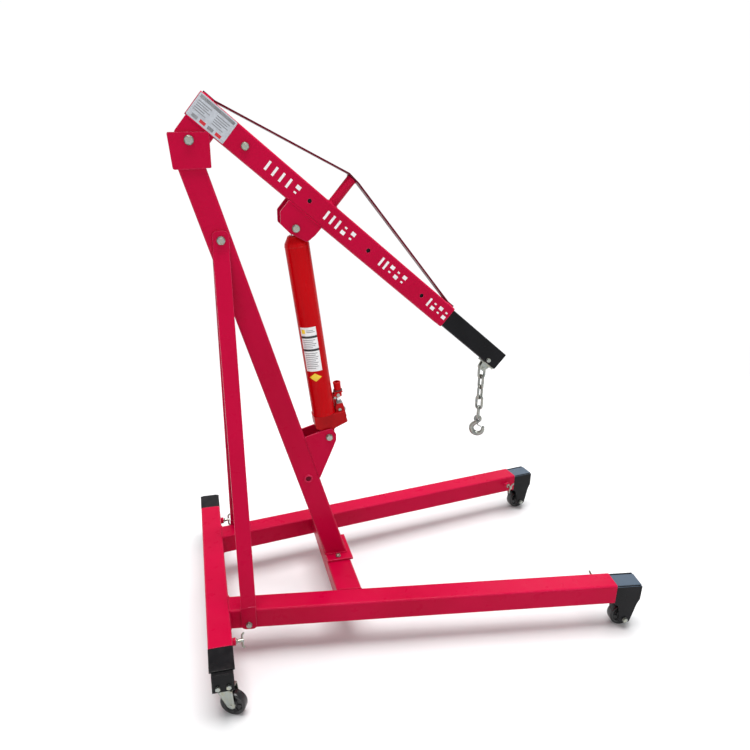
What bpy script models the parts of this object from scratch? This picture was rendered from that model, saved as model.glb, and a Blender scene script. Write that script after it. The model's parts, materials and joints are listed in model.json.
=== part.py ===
"""Engine hoist crane: a wheeled square-tube frame, a leaning post and a jib worked by a long hydraulic ram.

+X runs from the rear beam towards the splayed legs, +Z is up and Y = 0 is the middle plane, so the left
side is +Y. The dimensions below are measured from the rear beam's centre line; the frame_origin empty
then moves everything so that the origin is on the floor below the middle of the crane.
"""
import math

import bmesh
import bpy
from mathutils import Matrix, Vector

# ---------------------------------------------------------------- driving dimensions, metres and radians
OBJECT_NAME = "engine_hoist_crane"
GAP = 0.0003              # between solids that touch
RUNNING = 0.0006          # round a pin, or between sliding faces

TUBE = 0.070              # square tube of the frame and the jib
WALL = 0.004
CORNER = 0.006            # outer corner radius of a square tube
INNER = 0.060             # square tube that slides inside it
INNER_CORNER = 0.005

BEAM_Z = 0.139            # centre height of the rear beam and the legs
BEAM_HALF = 0.375         # rear beam, half its length
CARRIER_HALF = 0.4725     # to the end face of a rear carrier
CARRIER_OVERLAP = 0.160   # how far a carrier reaches into its tube
FLANK = 0.005             # flank plates welded to the sides of the front carriers
REAR_CAP = (0.070, 0.086, 0.0055)    # plate welded on top of a rear carrier, flush with the beam

SPLAY = math.radians(7.83)
LEG_ROOT_Y = 0.198        # leg centre line at the beam's front face
LEG_LENGTH = 1.234
FRONT_REACH = 0.084       # a front carrier beyond its leg

CROSS_X = 0.412
CROSS_WIDTH = 0.080
CROSS_HEIGHT = 0.060

POST_LEAN = math.radians(16.73)
POST_FOOT = (0.406, 0.1935)       # a point (x, z) on the post's centre line
POST_TOP_Z = 1.449
FOOT_PLATE = (0.088, 0.140, 0.008)
FOOT_BOLT_Y = 0.052

PIVOT = (0.030, 1.506)            # jib pivot (x, z)
BOOM_DROP = math.radians(40.0)    # the jib points this far below level at rest
BOOM_RAISE = math.radians(80.0)
BOOM_AXIS_V = 0.0795              # jib centre line above the pivot, square to the jib
BOOM_START = -0.045               # along the jib, from the pivot
BOOM_END = 0.894
LOCK_FIRST = 0.118                # first lock hole along the jib
LOCK_PITCH = 0.220
LOCK_COUNT = 4
EXTENSION_START = 0.078
EXTENSION_END = 1.146

RAM_FOOT = (0.388, 0.626)         # lower ram pin (x, z)
RAM_TOP = (0.354, -0.0024)        # upper ram pin along and above the jib's own axes
RAM_RADIUS = 0.036
RAM_BORE = 0.026
ROD_RADIUS = 0.015
EAR = 0.006                       # thickness of the ears and the brackets
EAR_OUTER = TUBE / 2

BRACE_TOP = (0.093, 1.251)        # brace bolt on the post (x, z)
BRACE_FOOT = (0.091, 0.124)       # brace bolt on the leg
BRACE_WIDTH = 0.045
BRACE_THICK = 0.005

TRUSS_U = 0.400                   # truss post along the jib
TRUSS_RISE = 0.090

WHEEL_RADIUS = 0.0375
FRONT_WHEEL_X = 1.301
CASTER_Y = 0.431                  # swivel axis of a rear caster
CASTER_TRAIL = 0.028
CASTER_TURN = {"right": math.radians(-25.0), "left": math.radians(-84.0)}

HOOK_PIN = (1.106, 0.0600)        # through bolt of the hook bracket, jib axes
CHAIN_PIN = (1.124, 0.0305)       # pin that carries the chain, jib axes
WIRE = 0.0042                     # chain wire radius
LINK_HALF_WIDTH = 0.0098          # wire centre line to the link's middle
LINK_PITCH = 0.0370
LINK_TWIST = math.radians(104.0)  # each link turned against the one above
LINK_COUNT = 5

FRONT_END_X = (TUBE / 2 + (LEG_LENGTH + FRONT_REACH) * math.cos(SPLAY)
               + (INNER / 2 + FLANK) * math.sin(SPLAY))
FRAME_X = (FRONT_END_X - TUBE / 2) / 2    # rear beam to the middle of the crane's length

SIDES = {"left": 1, "right": -1}

RED = (0.52, 0.006, 0.035)
RAM_RED = (0.56, 0.006, 0.010)
BLACK = (0.012, 0.012, 0.014)
ZINC = (0.62, 0.62, 0.58)
STEEL = (0.70, 0.71, 0.72)
RUBBER = (0.015, 0.015, 0.017)


# ---------------------------------------------------------------- scene helpers
def clear_scene():
    for obj in list(bpy.data.objects):
        bpy.data.objects.remove(obj, do_unlink=True)


def collection(name):
    group = bpy.data.collections.new(name)
    bpy.context.scene.collection.children.link(group)
    return group


def material(name, color, roughness, metallic):
    mat = bpy.data.materials.new(name)
    mat.use_nodes = True
    shader = mat.node_tree.nodes["Principled BSDF"]
    shader.inputs["Base Color"].default_value = (*color, 1.0)
    shader.inputs["Roughness"].default_value = roughness
    shader.inputs["Metallic"].default_value = metallic
    mat.diffuse_color = (*color, 1.0)
    return mat


def empty(name, location, parent=None, rotation=None):
    """An empty at a place and turn given in the crane's own axes."""
    obj = bpy.data.objects.new(name, None)
    obj.empty_display_size = 0.03
    PARTS.objects.link(obj)
    return place(obj, location, rotation, parent)


def place(obj, location, rotation=None, parent=None):
    """Put an object at a place in the crane's axes and hang it on a parent without moving it."""
    turn = rotation.to_4x4() if rotation is not None else Matrix.Identity(4)
    world = Matrix.Translation(Vector(location)) @ turn
    obj.parent = parent if parent is not None else ORIGIN
    if obj.parent is None:
        obj.matrix_world = world
        return obj
    bpy.context.view_layer.update()
    obj.matrix_parent_inverse = Matrix.Identity(4)
    obj.matrix_basis = crane_matrix(obj.parent).inverted() @ world
    return obj


def crane_matrix(obj):
    """An object's matrix in the crane's axes, which frame_origin carries."""
    chain = Matrix.Identity(4)
    while obj is not None and obj is not ORIGIN:
        chain = obj.matrix_basis @ chain
        obj = obj.parent
    return chain


def new_mesh_object(name, bm):
    mesh = bpy.data.meshes.new(name)
    bm.normal_update()
    bm.to_mesh(mesh)
    bm.free()
    obj = bpy.data.objects.new(name, mesh)
    PARTS.objects.link(obj)
    return obj


def bake(obj):
    """Replace an object by its evaluated mesh, with loose caps welded."""
    bpy.context.view_layer.update()
    graph = bpy.context.evaluated_depsgraph_get()
    mesh = bpy.data.meshes.new_from_object(obj.evaluated_get(graph), depsgraph=graph)
    bm = bmesh.new()
    bm.from_mesh(mesh)
    bmesh.ops.remove_doubles(bm, verts=bm.verts, dist=1e-6)
    bm.to_mesh(mesh)
    bm.free()
    fresh = bpy.data.objects.new(obj.name + "_mesh", mesh)
    PARTS.objects.link(fresh)
    fresh.matrix_world = obj.matrix_world.copy()
    name = obj.name
    bpy.data.objects.remove(obj, do_unlink=True)
    fresh.name = name
    return fresh


def combine(obj, others, operation):
    """Join or cut an object with others, then remove the others."""
    for other in others:
        mod = obj.modifiers.new(operation.lower(), "BOOLEAN")
        mod.operation = operation
        mod.solver = "EXACT"
        mod.object = other
    fresh = bake(obj)
    for other in others:
        bpy.data.objects.remove(other, do_unlink=True)
    return fresh


def join(obj, *others):
    return combine(obj, others, "UNION")


def cut(obj, *others):
    for other in others:
        other.display_type = "WIRE"
        other.hide_render = True
    return combine(obj, others, "DIFFERENCE")


def finish(obj, name, mat, parent=None, pivot=None, turn=None):
    """Name a solid, give it its material, and move its origin to its pivot."""
    obj.name = name
    obj.data.name = name
    obj.data.materials.clear()
    obj.data.materials.append(mat)
    mesh = obj.data
    mesh.transform(obj.matrix_world)
    mesh.shade_smooth()
    mesh.set_sharp_from_angle(angle=math.radians(32.0))
    anchor = Vector(pivot) if pivot is not None else box_middle(mesh)
    spin = turn.to_4x4() if turn is not None else Matrix.Identity(4)
    world = Matrix.Translation(anchor) @ spin
    mesh.transform(world.inverted())
    obj.matrix_world = Matrix.Identity(4)
    return place(obj, anchor, turn, parent)


def box_middle(mesh):
    low = Vector([min(v.co[i] for v in mesh.vertices) for i in range(3)])
    high = Vector([max(v.co[i] for v in mesh.vertices) for i in range(3)])
    return (low + high) / 2


# ---------------------------------------------------------------- shapes, each made in the crane's axes
def block(name, size, location, rotation=None, bevel=0.0):
    bm = bmesh.new()
    bmesh.ops.create_cube(bm, size=1.0)
    bmesh.ops.scale(bm, vec=Vector(size), verts=bm.verts)
    if bevel:
        bmesh.ops.bevel(bm, geom=bm.edges[:], offset=bevel, segments=1, affect="EDGES", profile=0.5)
    obj = new_mesh_object(name, bm)
    turn = rotation.to_4x4() if rotation is not None else Matrix.Identity(4)
    obj.matrix_world = Matrix.Translation(Vector(location)) @ turn
    return obj


def along(direction):
    """The turn that takes local Z to a direction."""
    return Vector((0, 0, 1)).rotation_difference(Vector(direction).normalized()).to_matrix()


def cylinder(name, radius, start, end, sides=24, radius_end=None):
    start = Vector(start)
    end = Vector(end)
    bm = bmesh.new()
    bmesh.ops.create_cone(bm, cap_ends=True, segments=sides, radius1=radius,
                          radius2=radius if radius_end is None else radius_end, depth=(end - start).length)
    obj = new_mesh_object(name, bm)
    obj.matrix_world = Matrix.Translation((start + end) / 2) @ along(end - start).to_4x4()
    return obj


def hexagon(name, across_flats, start, end, roll=0.0):
    obj = cylinder(name, across_flats / 2 / math.cos(math.radians(30.0)), start, end, sides=6)
    obj.matrix_world = obj.matrix_world @ Matrix.Rotation(roll, 4, "Z")
    return obj


def rounded(points, radii, steps=3):
    """A closed outline whose corners are arcs of the given radii."""
    if isinstance(radii, (int, float)):
        radii = [radii] * len(points)
    outline = []
    for i, corner in enumerate(points):
        here = Vector(corner)
        if radii[i] <= 0:
            outline.append(here)
            continue
        back = (Vector(points[i - 1]) - here).normalized()
        ahead = (Vector(points[(i + 1) % len(points)]) - here).normalized()
        half = back.angle(ahead) / 2
        middle = here + (back + ahead).normalized() * (radii[i] / math.sin(half))
        start = here + back * (radii[i] / math.tan(half)) - middle
        end = here + ahead * (radii[i] / math.tan(half)) - middle
        sweep = start.angle_signed(end)
        for step in range(steps + 1):
            angle = -sweep * step / steps
            outline.append(middle + Matrix.Rotation(angle, 2) @ start)
    return outline


def circle(middle, radius, sides=20):
    return [(middle[0] + radius * math.cos(2 * math.pi * i / sides),
             middle[1] + radius * math.sin(2 * math.pi * i / sides)) for i in range(sides)]


def square(size, corner):
    h = size / 2
    return rounded([(-h, -h), (h, -h), (h, h), (-h, h)], corner)


def extrude(name, loops, thickness, matrix):
    """A flat outline with holes, thickened both ways along its own Z, then placed by a matrix."""
    curve = bpy.data.curves.new(name, "CURVE")
    curve.dimensions = "2D"
    curve.fill_mode = "BOTH"
    curve.extrude = thickness / 2
    for loop in loops:
        spline = curve.splines.new("POLY")
        spline.points.add(len(loop) - 1)
        for point, (x, y) in zip(spline.points, loop):
            point.co = (x, y, 0.0, 1.0)
        spline.use_cyclic_u = True
    obj = bpy.data.objects.new(name, curve)
    PARTS.objects.link(obj)
    obj.matrix_world = matrix
    return bake(obj)


# A side outline is drawn in x and z, and thickens along Y.
SIDE_TURN = Matrix.Rotation(math.radians(90.0), 4, "X")


def side_plate(name, loops, y_low, y_high, matrix=None):
    base = matrix if matrix is not None else Matrix.Identity(4)
    turned = base @ Matrix.Translation((0.0, (y_low + y_high) / 2, 0.0)) @ SIDE_TURN
    return extrude(name, loops, y_high - y_low, turned)


def square_tube(name, size, wall, corner, start, end, matrix=None):
    """A square tube between two points; its sides stay square to the crane's Y or to the matrix."""
    start = Vector(start)
    end = Vector(end)
    axis = (end - start).normalized()
    side = Vector((0, 1, 0)) if abs(axis.y) < 0.7 else Vector((0, 0, 1))
    up = axis.cross(side).normalized()
    side = up.cross(axis).normalized()
    turn = Matrix((side, up, side.cross(up))).transposed().to_4x4()
    base = matrix if matrix is not None else Matrix.Identity(4)
    world = base @ Matrix.Translation((start + end) / 2) @ turn
    loops = [square(size, corner), square(size - 2 * wall, max(corner - wall, 0.0015))]
    return extrude(name, loops, (end - start).length, world)


def turned(name, profile, matrix, steps=28):
    """A turned solid: (radius, height) points that run down the outer side."""
    bm = bmesh.new()
    verts = [bm.verts.new((r, 0.0, z)) for r, z in profile]
    for a, b in zip(verts, verts[1:]):
        bm.edges.new((a, b))
    if profile[0][0] > 0:
        bm.edges.new((verts[-1], verts[0]))
    obj = new_mesh_object(name, bm)
    mod = obj.modifiers.new("turn", "SCREW")
    mod.steps = steps
    mod.render_steps = steps
    mod.use_merge_vertices = True
    mod.merge_threshold = 0.00001
    obj.matrix_world = matrix
    return bake(obj)


def wire(name, points, radius, cyclic=False, radii=None, resolution=2):
    """A round wire along points, with filled caps."""
    curve = bpy.data.curves.new(name, "CURVE")
    curve.dimensions = "3D"
    curve.bevel_depth = radius
    curve.bevel_resolution = resolution
    curve.use_fill_caps = True
    spline = curve.splines.new("POLY")
    spline.points.add(len(points) - 1)
    for i, (point, co) in enumerate(zip(spline.points, points)):
        point.co = (*co, 1.0)
        point.radius = radii[i] if radii else 1.0
    spline.use_cyclic_u = cyclic
    obj = bpy.data.objects.new(name, curve)
    PARTS.objects.link(obj)
    return bake(obj)


def bolt(name, shank, across_flats, seat, tip, head_side=1, washer=True, roll=0.0):
    """A hexagon bolt from its seat to its tip: its head and washer stand on the seat."""
    seat = Vector(seat)
    tip = Vector(tip)
    out = (seat - tip).normalized()
    washer_thick = 0.0025 if washer else 0.0
    body = cylinder(name, shank / 2, seat + out * 0.001, tip, sides=16)
    parts = [hexagon("head", across_flats, seat + out * (washer_thick - 0.0004),
                     seat + out * (washer_thick + across_flats * 0.42), roll)]
    if washer:
        parts.append(cylinder("washer", across_flats * 0.62, seat + out * GAP, seat + out * washer_thick, 20))
    return join(body, *parts)


def through_bolt(name, shank, across_flats, near, far):
    """A bolt right through, with a washer and a nut at its far end."""
    near = Vector(near)
    far = Vector(far)
    out = (far - near).normalized()
    body = bolt(name, shank, across_flats, near, far + out * (across_flats * 0.45 + 0.004))
    nut = hexagon("nut", across_flats, far + out * 0.0021, far + out * (0.0021 + across_flats * 0.40), 0.3)
    ring = cylinder("ring", across_flats * 0.62, far + out * GAP, far + out * 0.0025, 20)
    return join(body, nut, ring)


# ---------------------------------------------------------------- axes of the leaning and pivoting parts
def boom_matrix():
    """Local x runs along the jib, local z square above it, from the pivot."""
    return Matrix.Translation((PIVOT[0], 0.0, PIVOT[1])) @ Matrix.Rotation(BOOM_DROP, 4, "Y")


def boom_point(u, v, y=0.0):
    return boom_matrix() @ Vector((u, y, v))


def post_x(z):
    return POST_FOOT[0] - math.tan(POST_LEAN) * (z - POST_FOOT[1])


def post_front(z):
    return post_x(z) + TUBE / 2 / math.cos(POST_LEAN)


def ram_geometry():
    """The ram's lean at rest and its pin-to-pin length at rest and with the jib fully raised."""
    foot = Vector((RAM_FOOT[0], RAM_FOOT[1]))
    pivot = Vector(PIVOT)
    reach = Vector(RAM_TOP)
    ends = []
    for angle in (-BOOM_DROP, BOOM_RAISE - BOOM_DROP):
        ends.append(pivot + Matrix.Rotation(angle, 2) @ reach - foot)
    leans = [math.atan2(end.x, end.y) for end in ends]
    return leans[0], leans[1] - leans[0], ends[0].length, ends[1].length


def ram_matrix():
    """Local z runs up the ram from its lower pin, local x forward."""
    return Matrix.Translation((RAM_FOOT[0], 0.0, RAM_FOOT[1])) @ Matrix.Rotation(ram_geometry()[0], 4, "Y")


def leg_matrix(side):
    """Local x runs forward along a leg from the beam's face, local z is up from the leg's centre line."""
    return (Matrix.Translation((TUBE / 2, side * LEG_ROOT_Y, BEAM_Z))
            @ Matrix.Rotation(side * SPLAY, 4, "Z"))


def brace_foot_seat(side):
    """Where the brace bolt meets the leg's outer face, and the way out from it."""
    face = LEG_ROOT_Y + math.tan(SPLAY) * (BRACE_FOOT[0] - TUBE / 2) + TUBE / 2 / math.cos(SPLAY)
    return (Vector((BRACE_FOOT[0], side * face, BRACE_FOOT[1])),
            Vector((-math.sin(SPLAY), side * math.cos(SPLAY), 0.0)))


def brace_foot_hole(side):
    seat, out = brace_foot_seat(side)
    return cylinder("hole", 0.006 + GAP, seat - out * 0.015, seat + out * 0.015, 16)


# ---------------------------------------------------------------- base frame
def thumb_boss(matrix, location, direction):
    start = matrix @ Vector(location)
    out = (matrix.to_3x3() @ Vector(direction)).normalized()
    return cylinder("boss", 0.0115, start - out * 0.001, start + out * 0.010, 12)


def thumb_hole(matrix, location, direction):
    start = matrix @ Vector(location)
    out = (matrix.to_3x3() @ Vector(direction)).normalized()
    return cylinder("hole", 0.005 + RUNNING, start - out * 0.010, start + out * 0.02, 16)


SCREW_Y = 0.325            # rear thumb screws, on the beam's front face
SCREW_S = LEG_LENGTH - 0.037


def rear_beam():
    obj = square_tube("rear_beam", TUBE, WALL, CORNER, (0, -BEAM_HALF, BEAM_Z), (0, BEAM_HALF, BEAM_Z))
    eye = Matrix.Identity(4)
    spots = [(TUBE / 2, side * SCREW_Y, BEAM_Z) for side in SIDES.values()]
    obj = join(obj, *[thumb_boss(eye, spot, (1, 0, 0)) for spot in spots])
    obj = cut(obj, *[thumb_hole(eye, spot, (1, 0, 0)) for spot in spots])
    finish(obj, "rear_beam", MATS["frame"])


def leg(name, side):
    matrix = leg_matrix(side)
    obj = square_tube(name, TUBE, WALL, CORNER, (-0.05, 0, 0), (LEG_LENGTH, 0, 0), matrix)
    spot = (SCREW_S, -side * TUBE / 2, 0.0)
    obj = join(obj, thumb_boss(matrix, spot, (0, -side, 0)))
    face = block("face", (0.2, 0.4, 0.2), (TUBE / 2 + GAP - 0.1, side * LEG_ROOT_Y, BEAM_Z))
    obj = cut(obj, face, thumb_hole(matrix, spot, (0, -side, 0)), brace_foot_hole(side))
    finish(obj, name + "_leg", MATS["frame"])


def crossmember():
    h = CROSS_HEIGHT / 2
    w = CROSS_WIDTH / 2
    top = BEAM_Z + TUBE / 2
    loops = [rounded([(-w, -h), (w, -h), (w, h), (-w, h)], CORNER),
             rounded([(-w + WALL, -h + WALL), (w - WALL, -h + WALL), (w - WALL, h - WALL), (-w + WALL, h - WALL)],
                     CORNER - WALL)]
    matrix = Matrix.Translation((CROSS_X, 0, top - h)) @ SIDE_TURN
    obj = extrude("crossmember", loops, 0.60, matrix)
    cutters = []
    for side in SIDES.values():
        inner = leg_matrix(side) @ Matrix.Translation((CROSS_X - TUBE / 2, side * (0.2 - TUBE / 2 - GAP), 0))
        cutter = block("cutter", (0.5, 0.4, 0.3), (0, 0, 0))
        cutter.matrix_world = inner
        cutters.append(cutter)
    cutters += [cylinder("hole", 0.006 + GAP, (CROSS_X, side * FOOT_BOLT_Y, top - 0.02),
                         (CROSS_X, side * FOOT_BOLT_Y, top + 0.02), 16) for side in SIDES.values()]
    obj = cut(obj, *cutters)
    finish(obj, "crossmember", MATS["frame"])


def post():
    low = POST_FOOT[1] - 0.10
    high = POST_TOP_Z + 0.10
    obj = square_tube("post", TUBE, WALL, CORNER, (post_x(low), 0, low), (post_x(high), 0, high))
    foot_top = BEAM_Z + TUBE / 2 + FOOT_PLATE[2] + 2 * GAP
    ends = [block("low", (0.5, 0.2, 0.2), (post_x(low), 0, foot_top - 0.1)),
            block("high", (0.5, 0.2, 0.2), (post_x(high), 0, POST_TOP_Z + 0.1))]
    hole = cylinder("hole", 0.008 + GAP, (BRACE_TOP[0], -0.1, BRACE_TOP[1]), (BRACE_TOP[0], 0.1, BRACE_TOP[1]), 20)
    obj = cut(obj, *ends, hole)
    finish(obj, "post", MATS["frame"])


def post_foot():
    """The foot plate that bolts the post to the crossmember."""
    top = BEAM_Z + TUBE / 2 + GAP
    obj = block("post_foot", FOOT_PLATE, (CROSS_X + 0.004, 0, top + FOOT_PLATE[2] / 2), bevel=0.001)
    holes = [cylinder("hole", 0.006 + GAP, (CROSS_X, side * FOOT_BOLT_Y, top - 0.01),
                      (CROSS_X, side * FOOT_BOLT_Y, top + 0.02), 16) for side in SIDES.values()]
    obj = cut(obj, *holes)
    finish(obj, "post_foot", MATS["frame"])


def foot_bolt(name, side):
    top = BEAM_Z + TUBE / 2 + GAP + FOOT_PLATE[2] + GAP
    y = side * FOOT_BOLT_Y
    obj = bolt(name, 0.012, 0.014, (CROSS_X, y, top), (CROSS_X, y, top - 0.030))
    finish(obj, "foot_bolt_" + name, MATS["zinc"])


def brace(name, side):
    """An angle bar with flat ends: bolted to the post's side above and the leg's outer side below."""
    top_y = TUBE / 2 + 2 * GAP
    seat, out = brace_foot_seat(side)
    half = BRACE_WIDTH / 2
    t = BRACE_THICK
    upper = Vector((BRACE_TOP[0], side * (top_y + t / 2), BRACE_TOP[1] - 0.030))
    foot = seat + out * (t / 2 + 2 * GAP)
    lower = foot + Vector((0, 0, 0.062))
    slope = lower - upper
    turn = Matrix.Rotation(math.atan2(slope.y, -slope.z), 3, "X")
    bar = block(name, (BRACE_WIDTH, t, slope.length + 0.002), (upper + lower) / 2, turn)
    inward = turn @ Vector((0, -side, 0))
    flange_at = (upper + lower) / 2 + inward * 0.0115 + Vector((-half + t / 2, 0, 0))
    flange = block("flange", (t, 0.028, slope.length - 0.10), flange_at, turn)
    top_tab = extrude("tab", [rounded([(-half, -0.030), (half, -0.030), (half, 0.026), (-half, 0.026)],
                                      [0, 0, 0.014, 0.014])], t,
                      Matrix.Translation((BRACE_TOP[0], side * (top_y + t / 2), BRACE_TOP[1])) @ SIDE_TURN)
    foot_tab = extrude("tab", [rounded([(-half, -0.018), (half, -0.018), (half, 0.064), (-half, 0.064)],
                                       [0.012, 0.012, 0, 0])], t,
                       Matrix.Translation(foot) @ Matrix.Rotation(side * SPLAY, 4, "Z") @ SIDE_TURN)
    obj = join(bar, flange, top_tab, foot_tab)
    top_hole = cylinder("hole", 0.008 + GAP, (BRACE_TOP[0], 0, BRACE_TOP[1]),
                        (BRACE_TOP[0], side * 0.08, BRACE_TOP[1]), 20)
    obj = cut(obj, top_hole, brace_foot_hole(side))
    finish(obj, name + "_brace", MATS["frame"])


def brace_bolts():
    seat = TUBE / 2 + 3 * GAP + BRACE_THICK
    obj = through_bolt("brace_top_bolt", 0.016, 0.019, (BRACE_TOP[0], -seat, BRACE_TOP[1]),
                       (BRACE_TOP[0], seat, BRACE_TOP[1]))
    finish(obj, "brace_top_bolt", MATS["zinc"])
    for name, side in SIDES.items():
        seat, out = brace_foot_seat(side)
        start = seat + out * (BRACE_THICK + 3 * GAP)
        obj = bolt("bolt", 0.012, 0.0155, start, start - out * 0.022)
        finish(obj, "brace_foot_bolt_" + name, MATS["zinc"])


# ---------------------------------------------------------------- post head and ram bracket
def head_bracket():
    """Two side plates on the post's head, joined by the plate that caps the post."""
    inner = TUBE / 2 + RUNNING
    outline = rounded([(-0.016, 1.434), (0.082, 1.438), (0.082, 1.512), (0.079, 1.526), (-0.024, 1.525)],
                      [0.006, 0.003, 0.004, 0.004, 0.004])
    hole = circle(PIVOT, 0.008 + GAP)
    cap = block("head_bracket", (0.084, 2 * inner + 0.002, 0.006), (0.036, 0, POST_TOP_Z + GAP + 0.003))
    plates = [side_plate("plate", [outline, hole], *sorted((side * inner, side * (inner + EAR))))
              for side in SIDES.values()]
    obj = join(plates[0], cap, plates[1])
    finish(obj, "head_bracket", MATS["frame"])


def boom_pivot_bolt():
    seat = TUBE / 2 + RUNNING + EAR + GAP
    obj = through_bolt("boom_pivot_bolt", 0.016, 0.020, (PIVOT[0], -seat, PIVOT[1]), (PIVOT[0], seat, PIVOT[1]))
    finish(obj, "boom_pivot_bolt", MATS["zinc"])


def ram_bracket(name, side):
    top = 0.632
    foot = 0.481
    points = [(post_front(foot) + GAP, foot), (0.403, 0.592), (0.411, 0.613), (0.411, 0.634),
              (0.397, 0.653), (0.363, 0.647), (post_front(top) + GAP, top)]
    outline = rounded(points, [0, 0.010, 0.010, 0.010, 0.006, 0.006, 0])
    hole = circle(RAM_FOOT, 0.008 + GAP)
    obj = side_plate(name, [outline, hole], *sorted((side * (EAR_OUTER - EAR), side * EAR_OUTER)))
    finish(obj, "ram_bracket_" + name, MATS["frame"])


def ram_foot_pin():
    seat = EAR_OUTER + GAP
    obj = through_bolt("ram_foot_pin", 0.016, 0.0175, (RAM_FOOT[0], -seat, RAM_FOOT[1]), (RAM_FOOT[0], seat, RAM_FOOT[1]))
    finish(obj, "ram_foot_pin", MATS["zinc"])


# ---------------------------------------------------------------- jib
def boom(parent):
    matrix = boom_matrix()
    obj = square_tube("boom_tube", TUBE, WALL, CORNER, (BOOM_START, 0, BOOM_AXIS_V), (BOOM_END, 0, BOOM_AXIS_V), matrix)
    holes = []
    for i in range(LOCK_COUNT):
        u = LOCK_FIRST + i * LOCK_PITCH
        holes.append(cylinder("hole", 0.0064, boom_point(u, BOOM_AXIS_V, -0.05), boom_point(u, BOOM_AXIS_V, 0.05), 16))
    obj = cut(obj, *holes)
    finish(obj, "boom_tube", MATS["frame"], parent)

    v = BOOM_AXIS_V - TUBE / 2 - GAP
    lug_outline = rounded([(-0.041, v), (-0.041, -0.006), (-0.020, -0.028), (0.020, -0.028), (0.045, 0.000), (0.045, v)],
                          [0, 0.010, 0.012, 0.012, 0.010, 0])
    outer = TUBE / 2 - GAP
    hole = circle((0, 0), 0.008 + GAP)
    plates = [side_plate("lug", [lug_outline, hole], *sorted((side * (outer - EAR), side * outer)), matrix)
              for side in SIDES.values()]
    sleeve = side_plate("sleeve", [circle((0, 0), 0.016, 28), hole], -outer + EAR - 0.001, outer - EAR + 0.001, matrix)
    obj = join(sleeve, *plates)
    finish(obj, "boom_lug", MATS["frame"], parent)

    ear_outline = rounded([(0.292, v), (0.292, 0.006), (0.314, -0.020), (0.349, -0.023), (0.403, -0.012),
                           (0.409, 0.018), (0.410, v)], [0, 0.006, 0.008, 0.008, 0.012, 0.010, 0])
    for name, side in SIDES.items():
        obj = side_plate("ear", [ear_outline, circle(RAM_TOP, 0.008 + GAP)],
                         *sorted((side * (EAR_OUTER - EAR), side * EAR_OUTER)), matrix)
        finish(obj, "boom_ear_" + name, MATS["frame"], parent)
        seat = boom_point(RAM_TOP[0], RAM_TOP[1], side * (EAR_OUTER + GAP))
        tip = boom_point(RAM_TOP[0], RAM_TOP[1], side * (EAR_OUTER - EAR + 0.0008))
        obj = bolt("bolt", 0.016, 0.018, seat, tip, roll=0.2)
        finish(obj, "ram_top_bolt_head" if side < 0 else "ram_top_bolt_nut", MATS["zinc"], parent)

    top = BOOM_AXIS_V + TUBE / 2 + GAP
    crest = top + TRUSS_RISE
    thick = 0.005
    lower = [(-0.040, top), (-0.005, top), (TRUSS_U - 0.018, crest), (TRUSS_U + 0.020, crest - 0.003),
             (0.868, top), (0.893, top)]
    upper = [(u, w + thick) for u, w in lower]
    strap = side_plate("strap", [lower + upper[::-1]], -0.016, 0.016, matrix)
    finish(strap, "truss_strap", MATS["frame"], parent)

    rod = cylinder("truss_post", 0.0145, boom_point(TRUSS_U, top), boom_point(TRUSS_U, crest - 0.0030), 20)
    finish(rod, "truss_post", MATS["frame"], parent)


def boom_extension(parent):
    matrix = boom_matrix()
    obj = square_tube("boom_extension", INNER, WALL, INNER_CORNER, (EXTENSION_START, 0, BOOM_AXIS_V),
                      (EXTENSION_END, 0, BOOM_AXIS_V), matrix)
    holes = [cylinder("hole", 0.0064, boom_point(LOCK_FIRST, BOOM_AXIS_V, -0.05), boom_point(LOCK_FIRST, BOOM_AXIS_V, 0.05), 16),
             cylinder("hole", 0.005 + GAP, boom_point(*HOOK_PIN, -0.05), boom_point(*HOOK_PIN, 0.05), 16)]
    obj = cut(obj, *holes)
    finish(obj, "boom_extension", MATS["black"], parent)

    seat = INNER / 2 + GAP
    obj = through_bolt("hook_pin", 0.010, 0.012, boom_point(*HOOK_PIN, -seat), boom_point(*HOOK_PIN, seat))
    finish(obj, "hook_pin", MATS["zinc"], parent)

    under = BOOM_AXIS_V - INNER / 2 - GAP
    plate = side_plate("hook_bracket", [rounded([(1.105, under - 0.005), (1.145, under - 0.005),
                                                 (1.145, under), (1.105, under)], 0.001, 1)], -0.024, 0.024, matrix)
    ears = []
    for side in SIDES.values():
        u, v = CHAIN_PIN
        outline = rounded([(u - 0.015, under - 0.004), (u - 0.009, v - 0.009), (u + 0.009, v - 0.009),
                           (u + 0.015, under - 0.004)], [0, 0.007, 0.007, 0], 4)
        ears.append(side_plate("ear", [outline], *sorted((side * 0.0065, side * 0.0105)), matrix))
    pin = cylinder("pin", 0.004, boom_point(*CHAIN_PIN, -0.0125), boom_point(*CHAIN_PIN, 0.0125), 16)
    obj = join(plate, *ears, pin)
    finish(obj, "hook_bracket", MATS["zinc"], parent)


def boom_lock_bolt(parent):
    seat = boom_point(LOCK_FIRST, BOOM_AXIS_V, -(TUBE / 2 + GAP))
    tip = boom_point(LOCK_FIRST, BOOM_AXIS_V, -(INNER / 2 + RUNNING))
    obj = bolt("bolt", 0.012, 0.017, seat, tip)
    finish(obj, "boom_lock_bolt", MATS["zinc"], parent, pivot=seat)


# ---------------------------------------------------------------- chain and hook
def link_points(middle, angle, steps=6):
    """A chain link's centre line in an upright plane turned by an angle."""
    straight = (LINK_PITCH + GAP + 2 * WIRE) / 2 - LINK_HALF_WIDTH
    across = Vector((math.cos(angle), math.sin(angle), 0))
    points = []
    for sign in (1, -1):
        for i in range(steps + 1):
            a = math.pi * i / steps
            side = math.cos(a) * LINK_HALF_WIDTH * sign
            rise = sign * (straight + math.sin(a) * LINK_HALF_WIDTH)
            points.append(Vector(middle) + across * side + Vector((0, 0, rise)))
    return points


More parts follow.
